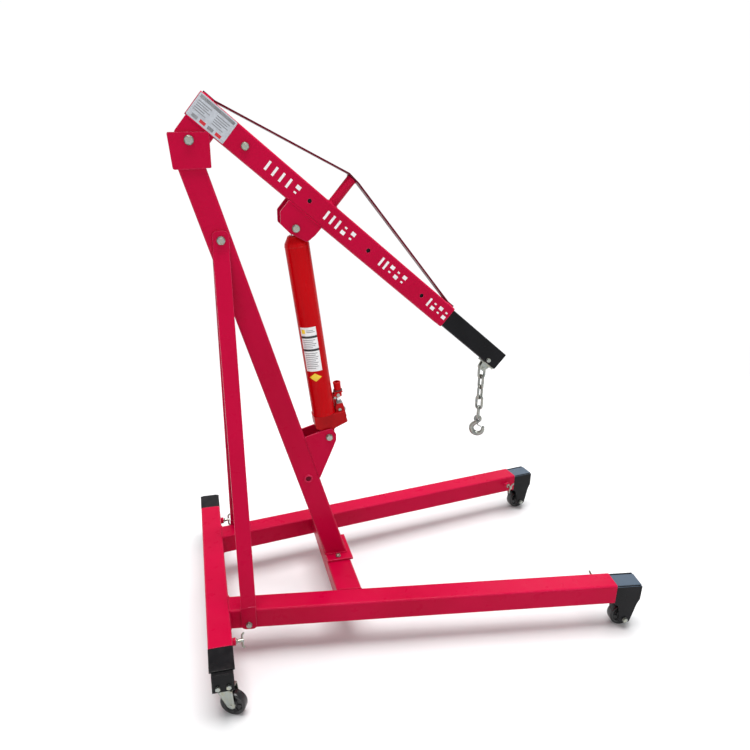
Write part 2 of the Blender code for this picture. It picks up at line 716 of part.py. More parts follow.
def chain_layout():
    """Link middles, their angles, and the last crown's height."""
    pin = boom_point(*CHAIN_PIN)
    reach = (LINK_PITCH + GAP + 2 * WIRE) / 2
    first = pin.z + 0.004 + WIRE + GAP - reach
    middles = [Vector((pin.x, 0, first - i * LINK_PITCH)) for i in range(LINK_COUNT)]
    angles = [i * LINK_TWIST for i in range(LINK_COUNT)]
    crown = Vector((pin.x, 0, middles[-1].z - reach))
    return middles, angles, crown


HOOK_EYE_RADIUS = 0.0095
HOOK_WIRE = 0.0045
BOWL_RADIUS = 0.0195
NECK = 0.0257              # from the bottom of the eye to the middle of the bowl


def chain(parent, hook_parent):
    middles, angles, crown = chain_layout()
    for i, (middle, angle) in enumerate(zip(middles, angles)):
        obj = wire("link", link_points(middle, angle), WIRE, cyclic=True)
        finish(obj, f"chain_link_{i + 1}", MATS["zinc"], parent)

    axis_angle = angles[-1] + math.pi / 2
    across = Vector((math.cos(axis_angle), math.sin(axis_angle), 0))
    up = Vector((0, 0, 1))
    eye = crown + up * (WIRE + HOOK_WIRE + GAP - HOOK_EYE_RADIUS)
    ring = [eye + across * math.cos(2 * math.pi * i / 16) * HOOK_EYE_RADIUS
            + up * math.sin(2 * math.pi * i / 16) * HOOK_EYE_RADIUS for i in range(16)]
    obj = wire("ring", ring, HOOK_WIRE, cyclic=True)
    bowl = eye - up * (HOOK_EYE_RADIUS + NECK)
    path = [eye - up * HOOK_EYE_RADIUS, eye - up * (HOOK_EYE_RADIUS + 0.003) + across * 0.002]
    radii = [0.9, 0.95]
    for i in range(13):
        a = math.radians(55 - 245 * i / 12)
        path.append(bowl + across * math.cos(a) * BOWL_RADIUS + up * math.sin(a) * BOWL_RADIUS)
        radii.append(1.0 + 0.25 * math.sin(math.pi * i / 12) - 0.25 * (i / 12) ** 2)
    path.append(path[-1] + up * 0.006 - across * 0.003)
    radii.append(0.55)
    shank = wire("shank", path, 0.0072, radii=radii)
    obj = join(obj, shank)
    finish(obj, "hook", MATS["zinc"], hook_parent, pivot=crown)


def hook_frame():
    """The hook's eye, its across direction and its bowl's middle."""
    middles, angles, crown = chain_layout()
    across = Vector((math.cos(angles[-1] + math.pi / 2), math.sin(angles[-1] + math.pi / 2), 0))
    eye = crown + Vector((0, 0, WIRE + HOOK_WIRE + GAP - HOOK_EYE_RADIUS))
    return eye, across, eye - Vector((0, 0, HOOK_EYE_RADIUS + NECK))


def hook_latch(parent):
    """A sprung flap from the hook's neck to the inside of its tip."""
    eye, across, bowl = hook_frame()
    up = Vector((0, 0, 1))
    start = bowl - across * 0.0005 + up * 0.0135
    end = bowl - across * 0.0140 + up * 0.0075
    normal = across.cross(up)
    direction = (end - start).normalized()
    turn = Matrix((normal, normal.cross(direction) * -1, direction)).transposed()
    if turn.determinant() < 0:
        turn = Matrix((-normal, normal.cross(direction) * -1, direction)).transposed()
    obj = block("latch", (0.007, 0.0016, (end - start).length), (start + end) / 2, turn)
    finish(obj, "hook_latch", MATS["zinc"], parent, pivot=start)
    return start, normal


# ---------------------------------------------------------------- ram and pump
PUMP_T = 0.052                  # plunger axis ahead of the ram's axis
PUMP_TOP = 0.098
FULCRUM = (0.0385, 0.1185)
LEVER_PIN = (PUMP_T, 0.1255)
CYLINDER_FOOT = 0.072
CAP_TOP = 0.632


def ram(parent):
    matrix = ram_matrix()
    _, _, closed, _ = ram_geometry()
    top = closed - 0.024
    profile = [(0.024, top), (0.0255, top - 0.004), (RAM_RADIUS - 0.001, top - 0.020), (RAM_RADIUS, top - 0.026),
               (RAM_RADIUS, CYLINDER_FOOT + GAP), (RAM_BORE, CYLINDER_FOOT + GAP), (RAM_BORE, top - 0.040),
               (ROD_RADIUS + RUNNING, top - 0.040), (ROD_RADIUS + RUNNING, top)]
    obj = turned("ram_cylinder", profile, matrix, 32)
    finish(obj, "ram_cylinder", MATS["ram"], parent, pivot=matrix.translation)

    lug = rounded([(-0.036, CYLINDER_FOOT), (-0.036, 0.034), (-0.020, 0.024), (-0.020, -0.016), (0.020, -0.016),
                   (0.021, 0.022), (0.068, 0.036), (0.063, 0.072), (0.036, CYLINDER_FOOT)],
                  [0.002, 0.006, 0.004, 0.014, 0.014, 0.008, 0.004, 0.004, 0])
    hole = circle((0, 0), 0.008 + RUNNING)
    width = EAR_OUTER - EAR - 0.001
    body = side_plate("ram_base", [lug, hole], -width, width, matrix)
    pump = rounded([(0.0375, 0.060), (0.069, 0.050), (0.0625, PUMP_TOP), (0.043, PUMP_TOP), (0.0375, PUMP_TOP - 0.012)],
                   [0, 0, 0.003, 0.002, 0.002])
    pump = side_plate("pump", [pump], -0.017, 0.017, matrix)
    ear = rounded([(0.0368, 0.085), (0.0445, 0.085), (0.0445, 0.124), (0.0368, 0.124)], [0, 0, 0.003, 0.003])
    ear = side_plate("fulcrum", [ear], -0.005, 0.005, matrix)
    body = join(body, pump, ear)
    bore = cylinder("bore", 0.006 + GAP, matrix @ Vector((PUMP_T, 0, 0.052)), matrix @ Vector((PUMP_T, 0, 0.15)), 16)
    pin_hole = cylinder("hole", 0.0025 + GAP, matrix @ Vector((FULCRUM[0] + 0.0022, -0.02, FULCRUM[1])),
                        matrix @ Vector((FULCRUM[0] + 0.0022, 0.02, FULCRUM[1])), 12)
    valve_hole = cylinder("hole", 0.005 + GAP, matrix @ Vector((0.030, 0.018, 0.053)),
                          matrix @ Vector((0.030, 0.05, 0.053)), 16)
    body = cut(body, bore, pin_hole, valve_hole)
    finish(body, "ram_base", MATS["ram"], parent, pivot=matrix.translation)


def ram_rod(parent):
    matrix = ram_matrix()
    closed = ram_geometry()[2]
    foot = CYLINDER_FOOT + 0.006
    profile = [(0.0, closed - 0.004), (ROD_RADIUS, closed - 0.004), (ROD_RADIUS, foot + 0.024),
               (RAM_BORE - RUNNING, foot + 0.022), (RAM_BORE - RUNNING, foot), (0.0, foot)]
    rod = turned("ram_rod", profile, matrix, 24)
    half = EAR_OUTER - EAR - 0.003
    eye = cylinder("eye", 0.019, matrix @ Vector((0, -half, closed)), matrix @ Vector((0, half, closed)), 28)
    rod = join(rod, eye)
    hole = cylinder("hole", 0.008 + GAP, matrix @ Vector((0, -0.05, closed)), matrix @ Vector((0, 0.05, closed)), 20)
    rod = cut(rod, hole)
    finish(rod, "ram_rod", MATS["steel"], parent, pivot=matrix @ Vector((0, 0, closed)))
    reach = EAR_OUTER - EAR - 0.0008
    pin = cylinder("pin", 0.008, matrix @ Vector((0, -reach, closed)), matrix @ Vector((0, reach, closed)), 20)
    finish(pin, "ram_top_pin", MATS["zinc"], parent)


def pump_lever(parent):
    """Two cheeks on the fulcrum, the pin that drives the plunger, and the handle socket."""
    matrix = ram_matrix()
    fulcrum = (FULCRUM[0] + 0.0022, FULCRUM[1])
    cheek = rounded([(fulcrum[0] - 0.0035, fulcrum[1] - 0.004), (0.064, 0.1205), (0.064, 0.1375), (0.046, 0.1375),
                     (fulcrum[0] - 0.0035, fulcrum[1] + 0.006)], [0.002, 0.003, 0.003, 0.003, 0.003])
    parts = [side_plate("cheek", [cheek], *sorted((side * 0.0085, side * 0.0125)), matrix) for side in SIDES.values()]
    fulcrum_pin = cylinder("pin", 0.0025, matrix @ Vector((fulcrum[0], -0.0135, fulcrum[1])),
                           matrix @ Vector((fulcrum[0], 0.0135, fulcrum[1])), 12)
    drive_pin = cylinder("pin", 0.004, matrix @ Vector((LEVER_PIN[0], -0.0145, LEVER_PIN[1])),
                         matrix @ Vector((LEVER_PIN[0], 0.0145, LEVER_PIN[1])), 16)
    foot = block("bridge", (0.025, 0.0244, 0.004), matrix @ Vector((0.055, 0, 0.1345)), matrix.to_3x3())
    obj = join(parts[0], parts[1], fulcrum_pin, drive_pin, foot)
    sleeve = turned("sleeve", [(0.0115, 0.031), (0.0115, 0.0), (0.0085, 0.0), (0.0085, 0.031)],
                    matrix @ Matrix.Translation((0.055, 0, 0.1353)), 32)
    obj = join(obj, sleeve)
    finish(obj, "pump_lever", MATS["ram"], parent, pivot=matrix @ Vector((fulcrum[0], 0, fulcrum[1])))


def pump_plunger(parent):
    matrix = ram_matrix()
    top = LEVER_PIN[1] - 0.004 - GAP
    profile = [(0.0, top), (0.005, top), (0.006, top - 0.001), (0.006, 0.068), (0.0, 0.068)]
    obj = turned("pump_plunger", profile, matrix @ Matrix.Translation((PUMP_T, 0, 0)), 20)
    finish(obj, "pump_plunger", MATS["steel"], parent, pivot=matrix @ Vector((PUMP_T, 0, top)))


def release_valve(parent):
    matrix = ram_matrix()
    seat = EAR_OUTER - EAR - 0.001
    start = matrix @ Vector((0.030, seat - 0.008, 0.053))
    obj = cylinder("release_valve", 0.005, start, matrix @ Vector((0.030, seat + 0.002, 0.053)), 16)
    knob = cylinder("knob", 0.008, matrix @ Vector((0.030, seat + GAP, 0.053)), matrix @ Vector((0.030, seat + 0.013, 0.053)), 8)
    obj = join(obj, knob)
    slot = block("slot", (0.018, 0.010, 0.003), matrix @ Vector((0.030, seat + 0.014, 0.053)), matrix.to_3x3())
    obj = cut(obj, slot)
    finish(obj, "release_valve", MATS["steel"], parent, pivot=start)


# ---------------------------------------------------------------- wheels and carriers
def front_wheel_x(side):
    """The front wheel's place along its leg, in the leg's own axes."""
    return (FRONT_WHEEL_X - TUBE / 2) / math.cos(SPLAY)


def front_carrier(name, side, parent):
    matrix = leg_matrix(side)
    start = LEG_LENGTH - CARRIER_OVERLAP
    end = LEG_LENGTH + FRONT_REACH
    obj = square_tube("carrier", INNER, WALL, INNER_CORNER, (start, 0, 0), (end, 0, 0), matrix)
    cap = block("cap", (0.004, INNER - 0.004, INNER - 0.004), matrix @ Vector((end - 0.003, 0, 0)), matrix.to_3x3())
    red_end = LEG_LENGTH + 0.001
    axle_s = front_wheel_x(side)
    axle_z = WHEEL_RADIUS - BEAM_Z
    outline = rounded([(red_end, 0.029), (red_end, -0.037), (axle_s - 0.026, -0.050), (axle_s - 0.016, axle_z - 0.014),
                       (axle_s + 0.016, axle_z - 0.014), (end - 0.008, -0.040), (end, -0.022), (end, 0.029)],
                      [0.002, 0.002, 0.010, 0.013, 0.013, 0.020, 0.010, 0.002])
    hole = circle((axle_s, axle_z), 0.005 + GAP, 16)
    flanks = []
    for flank in SIDES.values():
        low, high = sorted((flank * (INNER / 2 - 0.0005), flank * (INNER / 2 + FLANK)))
        flanks.append(side_plate("flank", [outline, hole], low, high, matrix))
    obj = join(obj, cap, *flanks)
    finish(obj, "front_carrier_" + name, MATS["black"], parent)


def front_axle(name, side, parent):
    matrix = leg_matrix(side)
    s = front_wheel_x(side)
    z = WHEEL_RADIUS - BEAM_Z
    seat = INNER / 2 + FLANK + GAP
    obj = through_bolt("axle", 0.010, 0.014, matrix @ Vector((s, side * seat, z)), matrix @ Vector((s, -side * seat, z)))
    spacers = []
    for flank in SIDES.values():
        spacers.append(cylinder("spacer", 0.009, matrix @ Vector((s, flank * 0.0165, z)),
                                matrix @ Vector((s, flank * (INNER / 2 - 0.0008), z)), 16))
    obj = join(obj, *spacers)
    finish(obj, "front_axle_" + name, MATS["zinc"], parent)


def wheel_profile(half_width, bore):
    r = WHEEL_RADIUS
    return [(r - 0.005, half_width), (r - 0.0015, half_width - 0.0015), (r, half_width - 0.006),
            (r, -half_width + 0.006), (r - 0.0015, -half_width + 0.0015), (r - 0.005, -half_width),
            (r - 0.011, -half_width), (r - 0.0125, -half_width + 0.004), (0.013, -half_width + 0.004),
            (0.012, -half_width), (bore, -half_width), (bore, half_width), (0.012, half_width),
            (0.013, half_width - 0.004), (r - 0.0125, half_width - 0.004), (r - 0.011, half_width)]


def front_wheel(name, side, parent):
    matrix = leg_matrix(side) @ Matrix.Translation((front_wheel_x(side), 0, WHEEL_RADIUS - BEAM_Z))
    obj = turned("wheel", wheel_profile(0.0155, 0.005 + RUNNING), matrix @ SIDE_TURN, 28)
    finish(obj, "front_wheel_" + name, MATS["rubber"], parent, pivot=matrix.translation)


def rear_carrier(name, side, parent):
    start = side * (BEAM_HALF - CARRIER_OVERLAP)
    end = side * CARRIER_HALF
    obj = square_tube("carrier", INNER, WALL, INNER_CORNER, (0, start, BEAM_Z), (0, end, BEAM_Z))
    cap = block("cap", (INNER - 0.004, 0.004, INNER - 0.004), (0, end - side * 0.003, BEAM_Z))
    middle = side * (BEAM_HALF + 0.001 + REAR_CAP[1] / 2)
    top = block("top", REAR_CAP, (0, middle, BEAM_Z + TUBE / 2 - REAR_CAP[2] / 2), bevel=0.0008)
    under = BEAM_Z - INNER / 2
    plate = block("plate", (0.062, 0.080, 0.0045), (0, side * (CASTER_Y - 0.001), under - 0.0020), bevel=0.0006)
    heads = [hexagon("head", 0.013, (x, end - side * 0.0015, under + 0.013), (x, end + side * 0.0045, under + 0.013))
             for x in (-0.015, 0.015)]
    obj = join(obj, cap, top, plate, *heads)
    king = cylinder("king", 0.006 + RUNNING, (0, side * CASTER_Y, under - 0.02), (0, side * CASTER_Y, under + 0.010), 20)
    obj = cut(obj, king)
    finish(obj, "rear_carrier_" + name, MATS["black"], parent)


def caster_matrix(name, side):
    """Local x is the trail direction, from the swivel axis at axle height."""
    return (Matrix.Translation((0, side * CASTER_Y, WHEEL_RADIUS))
            @ Matrix.Rotation(CASTER_TURN[name], 4, "Z"))


def caster_fork(name, side, parent):
    matrix = caster_matrix(name, side)
    crown_top = BEAM_Z - INNER / 2 - 0.00425 - RUNNING - WHEEL_RADIUS
    crown_low = crown_top - 0.012
    trail = CASTER_TRAIL
    obj = cylinder("fork", 0.022, matrix @ Vector((0, 0, crown_low)), matrix @ Vector((0, 0, crown_top)), 28, 0.019)
    yoke = block("yoke", (0.050, 0.040, 0.004), matrix @ Vector((0.008, 0, crown_low - 0.001)), matrix.to_3x3(), 0.001)
    cheek = rounded([(-0.016, crown_low - 0.002), (trail - 0.010, -0.004), (trail, -0.010), (trail + 0.010, -0.002),
                     (0.033, crown_low - 0.002)], [0.002, 0.006, 0.008, 0.006, 0.002])
    cheeks = [side_plate("cheek", [cheek], *sorted((s * 0.0170, s * 0.0200)), matrix) for s in (1, -1)]
    axle = cylinder("axle", 0.004, matrix @ Vector((trail, -0.0215, 0)), matrix @ Vector((trail, 0.0215, 0)), 16)
    nuts = [cylinder("rivet", 0.0075, matrix @ Vector((trail, s * 0.0195, 0)), matrix @ Vector((trail, s * 0.0235, 0)), 6)
            for s in (1, -1)]
    pin = cylinder("pin", 0.006, matrix @ Vector((0, 0, crown_top - 0.002)), matrix @ Vector((0, 0, crown_top + 0.008)), 20)
    obj = join(obj, yoke, *cheeks, axle, *nuts, pin)
    finish(obj, "caster_fork_" + name, MATS["zinc"], parent, pivot=matrix.translation)


def caster_wheel(name, side, parent):
    matrix = caster_matrix(name, side) @ Matrix.Translation((CASTER_TRAIL, 0, 0))
    obj = turned("wheel", wheel_profile(0.0135, 0.004 + RUNNING), matrix @ SIDE_TURN, 28)
    finish(obj, "caster_wheel_" + name, MATS["rubber"], parent, pivot=matrix.translation)


def thumb_screw(name, parent, matrix, location, direction):
    """A clamp screw with a bent cross bar through its head."""
    seat = matrix @ Vector(location)
    out = (matrix.to_3x3() @ Vector(direction)).normalized()
    tip = seat - out * (TUBE / 2 - INNER / 2 - RUNNING)
    shank = cylinder("shank", 0.005, tip, seat + out * 0.034, 16)
    collar = cylinder("collar", 0.008, seat + out * 0.0108, seat + out * 0.0145, 16)
    side = out.cross(Vector((0, 0, 1))).normalized()
    lean = (Vector((0, 0, 1)) * 0.90 - side * 0.43).normalized()
    middle = seat + out * 0.029
    ends = [middle - lean * 0.022 + out * 0.006, middle - lean * 0.015, middle, middle + lean * 0.015,
            middle + lean * 0.022 + out * 0.006]
    bar = wire("bar", ends, 0.0033)
    obj = join(shank, collar, bar)
    finish(obj, name, MATS["zinc"], parent, pivot=seat)


# ---------------------------------------------------------------- the crane
def build_base():
    rear_beam()
    crossmember()
    post()
    post_foot()
    head_bracket()
    boom_pivot_bolt()
    brace_bolts()
    ram_foot_pin()
    for name, side in SIDES.items():
        leg(name, side)
        foot_bolt(name, side)
        brace(name, side)
        ram_bracket(name, side)


def build_boom():
    matrix = boom_matrix()
    pivot = empty("boom_pivot", matrix.translation, None, matrix.to_3x3())
    boom(pivot)
    slide = empty("extension_slide", boom_point(EXTENSION_START, BOOM_AXIS_V), pivot, matrix.to_3x3())
    boom_extension(slide)
    boom_lock_bolt(pivot)
    swing = empty("chain_swing", boom_point(*CHAIN_PIN), slide)
    crown = chain_layout()[2]
    hook_swing = empty("hook_swing", crown, swing)
    chain(swing, hook_swing)
    hook_latch(hook_swing)


def build_ram():
    matrix = ram_matrix()
    tilt = empty("ram_tilt", matrix.translation, None, matrix.to_3x3())
    ram(tilt)
    rod = empty("rod_slide", matrix @ Vector((0, 0, ram_geometry()[2])), tilt, matrix.to_3x3())
    ram_rod(rod)
    pump_lever(tilt)
    pump_plunger(tilt)
    release_valve(tilt)


def build_wheels():
    for name, side in SIDES.items():
        front = leg_matrix(side)
        slide = empty("front_slide_" + name, front @ Vector((LEG_LENGTH, 0, 0)), None, front.to_3x3())
        front_carrier(name, side, slide)
        front_axle(name, side, slide)
        front_wheel(name, side, slide)
        thumb_screw("front_thumb_screw_" + name, None, front, (SCREW_S, -side * TUBE / 2, 0), (0, -side, 0))
        rear = empty("rear_slide_" + name, (0, side * BEAM_HALF, BEAM_Z))
        rear_carrier(name, side, rear)
        turn = caster_matrix(name, side)
        swivel = empty("caster_swivel_" + name, turn.translation, rear, turn.to_3x3())
        caster_fork(name, side, swivel)
        caster_wheel(name, side, swivel)
        thumb_screw("rear_thumb_screw_" + name, None, Matrix.Identity(4), (TUBE / 2, side * SCREW_Y, BEAM_Z), (1, 0, 0))


clear_scene()
PARTS = collection(OBJECT_NAME)
ORIGIN = None
ORIGIN = empty("frame_origin", (0, 0, 0))
MATS = {
    "frame": material("frame_red", RED, 0.30, 0.0),
    "ram": material("ram_red", RAM_RED, 0.28, 0.0),
    "black": material("black_paint", BLACK, 0.40, 0.0),
    "zinc": material("zinc_plate", ZINC, 0.35, 1.0),
    "steel": material("ground_steel", STEEL, 0.20, 1.0),
    "rubber": material("wheel_rubber", RUBBER, 0.65, 0.0),
}
build_base()
build_boom()
build_ram()
build_wheels()
ORIGIN.location.x = -FRAME_X
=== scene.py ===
import json
import math

import bmesh
import bpy
from mathutils import Matrix, Vector, noise


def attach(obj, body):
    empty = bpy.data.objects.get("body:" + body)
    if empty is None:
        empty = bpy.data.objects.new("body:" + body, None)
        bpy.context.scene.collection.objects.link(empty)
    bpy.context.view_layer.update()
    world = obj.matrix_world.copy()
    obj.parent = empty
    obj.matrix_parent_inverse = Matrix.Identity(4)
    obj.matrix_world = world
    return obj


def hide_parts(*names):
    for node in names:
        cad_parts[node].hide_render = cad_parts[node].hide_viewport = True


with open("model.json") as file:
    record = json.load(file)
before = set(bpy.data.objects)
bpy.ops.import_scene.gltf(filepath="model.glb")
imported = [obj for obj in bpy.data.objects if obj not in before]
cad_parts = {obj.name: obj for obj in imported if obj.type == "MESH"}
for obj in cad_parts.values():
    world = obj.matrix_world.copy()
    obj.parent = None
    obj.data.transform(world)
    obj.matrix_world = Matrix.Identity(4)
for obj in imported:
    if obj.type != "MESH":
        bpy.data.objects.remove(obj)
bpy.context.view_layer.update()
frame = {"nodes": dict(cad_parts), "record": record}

NODES = frame["nodes"]

# ---- the crane's own sizes, metres and radians
FRAME_X = 0.655239
TUBE = 0.07
INNER = 0.06
GAP = 0.0003
BEAM_Z = 0.139
BEAM_HALF = 0.375
CARRIER_HALF = 0.4725
FLANK = 0.005
SPLAY = math.radians(7.83)
LEG_ROOT_Y = 0.198
LEG_LENGTH = 1.234
FRONT_REACH = 0.084
CROSS_X = 0.412
CROSS_WIDTH = 0.08
POST_LEAN = math.radians(16.73)
POST_FOOT = (0.406, 0.1935)
FOOT_BOLT_Y = 0.052
FOOT_PLATE_THICK = 0.008
PIVOT = (0.03, 1.506)
BOOM_DROP = math.radians(40.0)
BOOM_AXIS_V = 0.0795
LOCK_FIRST = 0.118
RAM_FOOT = (0.388, 0.626)
RAM_LEAN = math.radians(-7.73428)
RAM_CLOSED = 0.656588
RAM_TOP = (0.354, -0.0024)
RAM_RADIUS = 0.036
ROD_RADIUS = 0.015
EAR = 0.006
BRACE_TOP = (0.093, 1.251)
BRACE_FOOT = (0.091, 0.124)
BRACE_THICK = 0.005
TRUSS_U = 0.4
TRUSS_RISE = 0.09
WHEEL_RADIUS = 0.0375
FRONT_WHEEL_X = 1.301
CASTER_Y = 0.431
CASTER_TRAIL = 0.028
CASTER_TURN = {"right": math.radians(-25.0), "left": math.radians(-84.0)}
HOOK_PIN = (1.106, 0.06)
CHAIN_PIN = (1.124, 0.0305)
WIRE = 0.0042
LINK_HALF_WIDTH = 0.0098
LINK_PITCH = 0.037
LINK_TWIST = math.radians(104.0)
LINK_COUNT = 5
SCREW_Y = 0.325
SCREW_S = LEG_LENGTH - 0.037
SIDES = {"left": 1, "right": -1}

FRONT_AXLE = ((FRONT_WHEEL_X - TUBE / 2) / math.cos(SPLAY), WHEEL_RADIUS - BEAM_Z)
BOSS_Z = 0.485
WASHER_THICK = 0.0021
BEAD_STEP = 0.0014
BEAD_RIPPLE = 0.0036
STICKER_THICK = 0.00025
PRINT_THICK = 0.00012


def shift(x, y, z):
    return Matrix.Translation((x, y, z))


CRANE = shift(-FRAME_X, 0.0, 0.0)
BOOM = CRANE @ shift(PIVOT[0], 0, PIVOT[1]) @ Matrix.Rotation(BOOM_DROP, 4, "Y")
RAM = CRANE @ shift(RAM_FOOT[0], 0, RAM_FOOT[1]) @ Matrix.Rotation(RAM_LEAN, 4, "Y")
LEG = {name: CRANE @ shift(TUBE / 2, side * LEG_ROOT_Y, BEAM_Z) @ Matrix.Rotation(side * SPLAY, 4, "Z")
       for name, side in SIDES.items()}
CASTER = {name: CRANE @ shift(0, side * CASTER_Y, WHEEL_RADIUS) @ Matrix.Rotation(CASTER_TURN[name], 4, "Z")
          for name, side in SIDES.items()}
SIDEWAYS = Matrix.Rotation(math.radians(90.0), 4, "X")


def crane(x, y, z):
    return CRANE @ Vector((x, y, z))


def boom(u, v, y=0.0):
    """A place along the jib, above its pivot line, and to the left."""
    return BOOM @ Vector((u, y, v))


def ram(x, y, z):
    return RAM @ Vector((x, y, z))


def post_x(z):
    """The post's middle at a height."""
    return POST_FOOT[0] - math.tan(POST_LEAN) * (z - POST_FOOT[1])


# ---- materials
class Tree:
    """A small hand for wiring a material's nodes."""

    def __init__(self, name):
        self.mat = bpy.data.materials.new(name)
        self.mat.use_nodes = True
        self.nodes = self.mat.node_tree.nodes
        self.links = self.mat.node_tree.links
        self.shader = self.nodes["Principled BSDF"]
        self.coords = self.new("TexCoord").outputs["Object"]

    def put(self, target, value):
        if isinstance(value, bpy.types.NodeSocket):
            self.links.new(value, target)
        else:
            target.default_value = value

    def new(self, kind, **inputs):
        made = self.nodes.new("ShaderNode" + kind)
        for key, value in inputs.items():
            self.put(made.inputs[key.replace("_", " ")], value)
        return made

    def scaled(self, factors):
        return self.new("Mapping", Scale=factors, Vector=self.coords).outputs["Vector"]

    def noise(self, scale, detail=3.0, rough=0.5, coords=None):
        made = self.new("TexNoise", Vector=coords or self.coords, Scale=scale, Detail=detail, Roughness=rough)
        return made.outputs["Fac"]

    def ramp(self, value, low, high, out_low=0.0, out_high=1.0):
        made = self.new("MapRange", Value=value, From_Min=low, From_Max=high, To_Min=out_low, To_Max=out_high)
        made.interpolation_type = "SMOOTHSTEP"
        return made.outputs["Result"]

    def math(self, operation, a, b):
        made = self.new("Math")
        made.operation = operation
        self.put(made.inputs[0], a)
        self.put(made.inputs[1], b)
        return made.outputs[0]

    def times(self, a, b):
        return self.math("MULTIPLY", a, b)

    def mix(self, factor, a, b):
        made = self.new("Mix")
        made.data_type = "RGBA"
        self.put(made.inputs[0], factor)
        self.put(made.inputs[6], a if isinstance(a, bpy.types.NodeSocket) else (*a, 1.0))
        self.put(made.inputs[7], b if isinstance(b, bpy.types.NodeSocket) else (*b, 1.0))
        return made.outputs[2]

    def rounded(self, radius):
        """The normal with edges rounded off, and a mask that is 1 on the edges."""
        bevel = self.new("Bevel", Radius=radius)
        bevel.samples = 4
        dot = self.new("VectorMath")
        dot.operation = "DOT_PRODUCT"
        self.links.new(bevel.outputs["Normal"], dot.inputs[0])
        geometry = self.new("NewGeometry")
        self.links.new(geometry.outputs["Normal"], dot.inputs[1])
        return bevel.outputs["Normal"], self.ramp(dot.outputs["Value"], 0.999, 0.9)

    def bumps(self, normal, *layers):
        """Bump layers of (height, strength, distance), over a normal."""
        for height, strength, distance in layers:
            made = self.new("Bump", Strength=strength, Distance=distance, Height=height)
            if normal is not None:
                self.links.new(normal, made.inputs["Normal"])
            normal = made.outputs["Normal"]
        self.links.new(normal, self.shader.inputs["Normal"])

    def facing_up(self):
        geometry = self.new("NewGeometry")
        split = self.new("SeparateXYZ")
        self.links.new(geometry.outputs["Normal"], split.inputs[0])
        return split.outputs["Z"]

    def set(self, **inputs):
        for key, value in inputs.items():
            if isinstance(value, tuple) and len(value) == 3:
                value = (*value, 1.0)
            self.put(self.shader.inputs[key.replace("_", " ")], value)
        return self.mat

    def gloss(self, coat, coat_roughness, specular):
        """One even coat over the whole material."""
        self.shader.inputs["Coat Weight"].default_value = coat
        self.shader.inputs["Coat Roughness"].default_value = coat_roughness
        self.shader.inputs["Specular IOR Level"].default_value = specular


def enamel(name, deep, bright, edge, roughness, coat, radius=0.0016):
    """Sprayed enamel: drifting colour, thin pale edges that are a painted highlight, orange peel, fine scuffs
    and settled dust.
    """
    t = Tree(name)
    normal, edges = t.rounded(radius)
    drift = t.ramp(t.noise(3.0, 3.0), 0.3, 0.72)
    colour = t.mix(drift, deep, bright)
    broken = t.ramp(t.noise(160.0, 4.0, 0.7), 0.42, 0.66)
    # painted highlight: the edges are lightened towards the pale edge colour, broken up by noise
    colour = t.mix(t.times(edges, t.ramp(broken, 0.0, 1.0, 0.32, 0.72)), colour, edge)
    scuffs = t.noise(42.0, 6.0, 0.75, t.scaled((1.0, 1.0, 0.12)))
    scuffs = t.ramp(scuffs, 0.66, 0.74)
    colour = t.mix(t.times(scuffs, 0.05), colour, edge)
    chips = t.times(edges, t.ramp(t.noise(230.0, 5.0, 0.7), 0.67, 0.72))
    colour = t.mix(t.times(chips, 0.55), colour, (0.14, 0.05, 0.05))
    dust = t.times(t.ramp(t.facing_up(), 0.55, 1.0), t.ramp(t.noise(14.0, 6.0, 0.65), 0.45, 0.8))
    colour = t.mix(t.times(dust, 0.008), colour, (0.55, 0.5, 0.47))
    peel = t.noise(560.0, 2.0, 0.45)
    sag = t.noise(30.0, 3.0, 0.5)
    t.bumps(normal, (peel, 0.16, 0.00022), (sag, 0.1, 0.0012))
    rough = t.math("ADD", t.ramp(t.noise(24.0, 5.0, 0.6), 0.3, 0.75, roughness - 0.06, roughness + 0.08),
                   t.times(scuffs, 0.16))
    t.gloss(coat, 0.12, 0.06)
    t.shader.inputs["IOR"].default_value = 1.5
    return t.set(Base_Color=colour, Roughness=rough)


def plated(name, cool, warm, roughness, radius=0.0008, grain=(60.0, 60.0, 60.0)):
    """Zinc plate: drifting passivation colour, spangle, drawn grain and dull smudges."""
    t = Tree(name)
    normal, edges = t.rounded(radius)
    tint = t.ramp(t.noise(75.0, 4.0, 0.6), 0.35, 0.68)
    colour = t.mix(tint, cool, warm)
    colour = t.mix(t.times(edges, 0.35), colour, (0.62, 0.62, 0.6))
    smudge = t.ramp(t.noise(130.0, 6.0, 0.7), 0.58, 0.75)
    colour = t.mix(t.times(smudge, 0.55), colour, (0.09, 0.09, 0.08))
    brushed = t.noise(18.0, 4.0, 0.6, t.scaled(grain))
    spangle = t.noise(900.0, 2.0)
    t.bumps(normal, (brushed, 0.12, 0.0002), (spangle, 0.1, 0.0001))
    rough = t.math("ADD", t.ramp(brushed, 0.3, 0.7, roughness - 0.08, roughness + 0.1), t.times(smudge, 0.22))
    return t.set(Base_Color=colour, Metallic=0.92, Roughness=rough)


